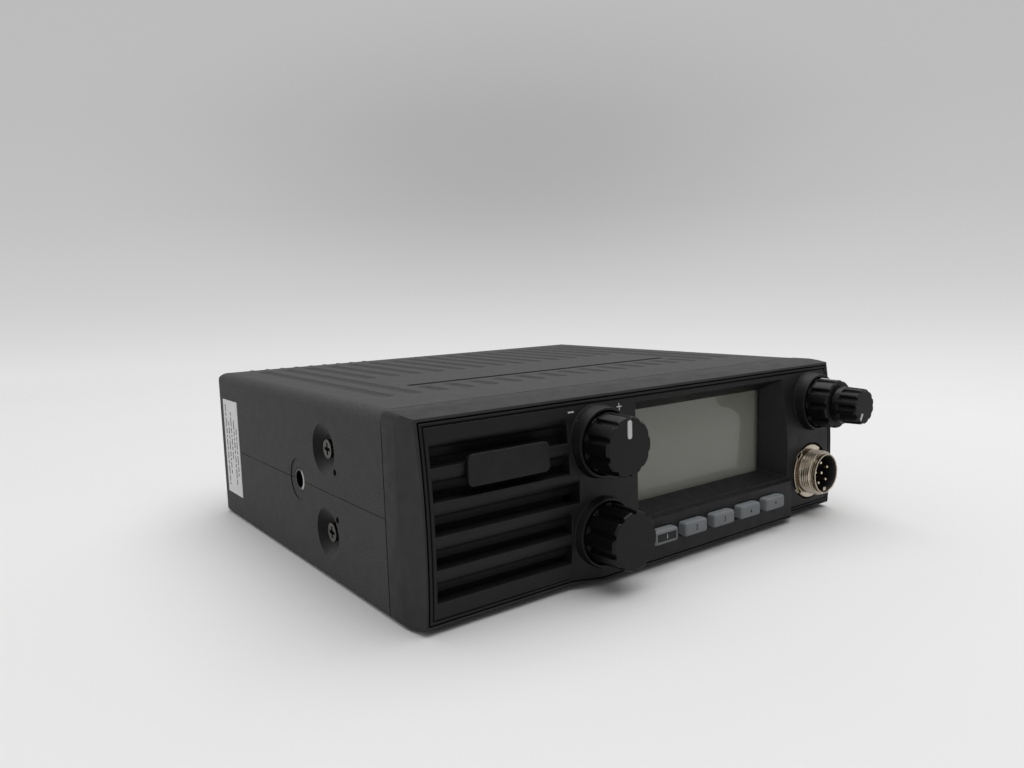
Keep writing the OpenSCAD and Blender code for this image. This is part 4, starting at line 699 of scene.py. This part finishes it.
def floor():
    """A plain pale floor, paler where it is seen than in the light that it gives back."""
    reach = 6.0
    corners = [(-reach, -reach, 0), (reach, -reach, 0), (reach, reach, 0), (-reach, reach, 0)]
    mesh = bpy.data.meshes.new("floor")
    mesh.from_pydata(corners, [], [(0, 1, 2, 3)])
    made = Finish("floor_paper", 0.8, specular=0.2)
    paper = made.noise(180.0)
    made.blend(seen_rays(made.nodes, made.links), made.ramp(paper, [(0.3, tone(186)), (0.7, tone(189))]),
               made.ramp(paper, [(0.3, tone(234)), (0.7, tone(236))]))
    made.relief(made.noise(0.8), 0.01)
    # Far from the object the floor fades into the pale surroundings
    distance = made.pattern("ShaderNodeTexGradient", FLOOR_FADE, (1, 1, 1))
    distance.gradient_type = "SPHERICAL"
    made.links.new(made.mapped(distance.outputs["Fac"], 0.0, 0.6, 0.0, 1.0), made.shader.inputs["Alpha"])
    mesh.materials.append(made.material)
    stage = bpy.data.objects.new("floor", mesh)
    bpy.context.scene.collection.objects.link(stage)


def lamp(name, place, target, size, energy):
    """A soft rectangular light, in metres and watts."""
    light = bpy.data.lights.new(name, "AREA")
    light.shape = "RECTANGLE"
    light.size, light.size_y = size
    light.energy = energy
    stand = bpy.data.objects.new(name, light)
    stand.location = place
    stand.rotation_mode = "QUATERNION"
    stand.rotation_quaternion = (Vector(target) - Vector(place)).to_track_quat("-Z", "Y")
    bpy.context.scene.collection.objects.link(stand)


def sky():
    """Pale surroundings for what is seen, mirrored or looked through, and soft light for the rest."""
    world = bpy.data.worlds.new("sky")
    bpy.context.scene.world = world
    world.use_nodes = True
    nodes, links = world.node_tree.nodes, world.node_tree.links
    nodes.clear()
    way = nodes.new("ShaderNodeTexCoord").outputs["Generated"]

    def background(direction, low, high, stops):
        """Light that changes along one direction."""
        share = nodes.new("ShaderNodeVectorMath")
        share.operation = "DOT_PRODUCT"
        share.inputs[1].default_value = direction
        links.new(way, share.inputs[0])
        spread = nodes.new("ShaderNodeMapRange")
        spread.inputs["From Min"].default_value = low
        spread.inputs["From Max"].default_value = high
        links.new(share.outputs["Value"], spread.inputs["Value"])
        ramp = nodes.new("ShaderNodeValToRGB")
        set_stops(ramp.color_ramp.elements, stops)
        links.new(spread.outputs["Result"], ramp.inputs["Fac"])
        light = nodes.new("ShaderNodeBackground")
        links.new(ramp.outputs["Color"], light.inputs["Color"])
        return light

    # Greys of the backdrop from below the horizon upwards
    rise = [(-0.2, 231), (-0.08, 226), (-0.04, 215), (0.0, 206), (0.05, 199), (0.1, 193), (0.2, 189),
            (0.45, 188)]
    low, high = rise[0][0], rise[-1][0]
    seen = background((0, 0, 1), low, high, [((z - low) / (high - low), tone(grey)) for z, grey in rise])
    # Soft light, weaker from the front than from behind
    weak, strong = (0.16, 0.16, 0.16, 1), (0.66, 0.66, 0.66, 1)
    soft = background((-0.3, 0.95, 0), -1.0, 1.0, [(0.0, weak), (1.0, strong)])
    # A faint shade on the backdrop behind the object
    place = nodes.new("ShaderNodeMapping")
    place.inputs["Scale"].default_value = (1.9, 1.9, 4.6)
    place.inputs["Location"].default_value = (-1.12, -1.5, -0.73)
    spot = nodes.new("ShaderNodeTexGradient")
    spot.gradient_type = "SPHERICAL"
    dim = nodes.new("ShaderNodeMapRange")
    dim.interpolation_type = "SMOOTHSTEP"
    dim.inputs["To Min"].default_value = 1.0
    dim.inputs["To Max"].default_value = 0.8
    links.new(way, place.inputs["Vector"])
    links.new(place.outputs["Vector"], spot.inputs["Vector"])
    links.new(spot.outputs["Fac"], dim.inputs["Value"])
    links.new(dim.outputs["Result"], seen.inputs["Strength"])
    mix = nodes.new("ShaderNodeMixShader")
    links.new(seen_rays(nodes, links), mix.inputs["Fac"])
    links.new(soft.outputs["Background"], mix.inputs[1])
    links.new(seen.outputs["Background"], mix.inputs[2])
    links.new(mix.outputs["Shader"], nodes.new("ShaderNodeOutputWorld").inputs["Surface"])


def camera():
    """The photograph's view."""
    turn, rise, roll = (math.radians(v) for v in (CAMERA_AZIMUTH, CAMERA_ELEVATION, CAMERA_ROLL))
    back = Vector((math.sin(turn) * math.cos(rise), -math.cos(turn) * math.cos(rise), math.sin(rise)))
    right = Vector((math.cos(turn), math.sin(turn), 0.0))
    up = right.cross(-back)
    across = math.cos(roll) * right + math.sin(roll) * up
    upward = -math.sin(roll) * right + math.cos(roll) * up
    data = bpy.data.cameras.new("camera")
    data.sensor_width = 36.0
    data.lens = CAMERA_LENS
    data.clip_start = 0.01
    data.clip_end = 50.0
    eye = bpy.data.objects.new("camera", data)
    turned = Matrix((across, upward, back)).transposed().to_4x4()
    eye.matrix_world = Matrix.Translation(Vector(CAMERA_AT) * MM) @ turned
    bpy.context.scene.collection.objects.link(eye)
    bpy.context.scene.camera = eye


def main():
    finishes = finish_all()
    for node, (radius, steps) in EDGES.items():
        soften(node, radius, steps)
    sockets(finishes)
    window(finishes)
    keys(finishes)
    cloth(finishes)
    prints(finishes)
    label_lines(finishes)
    floor()
    lamp("overhead", (0.3, -0.15, 1.6), (0, 0, 0), (2.4, 1.8), 25.0)
    sky()
    camera()
    bpy.context.scene.view_settings.view_transform = "Standard"


main()
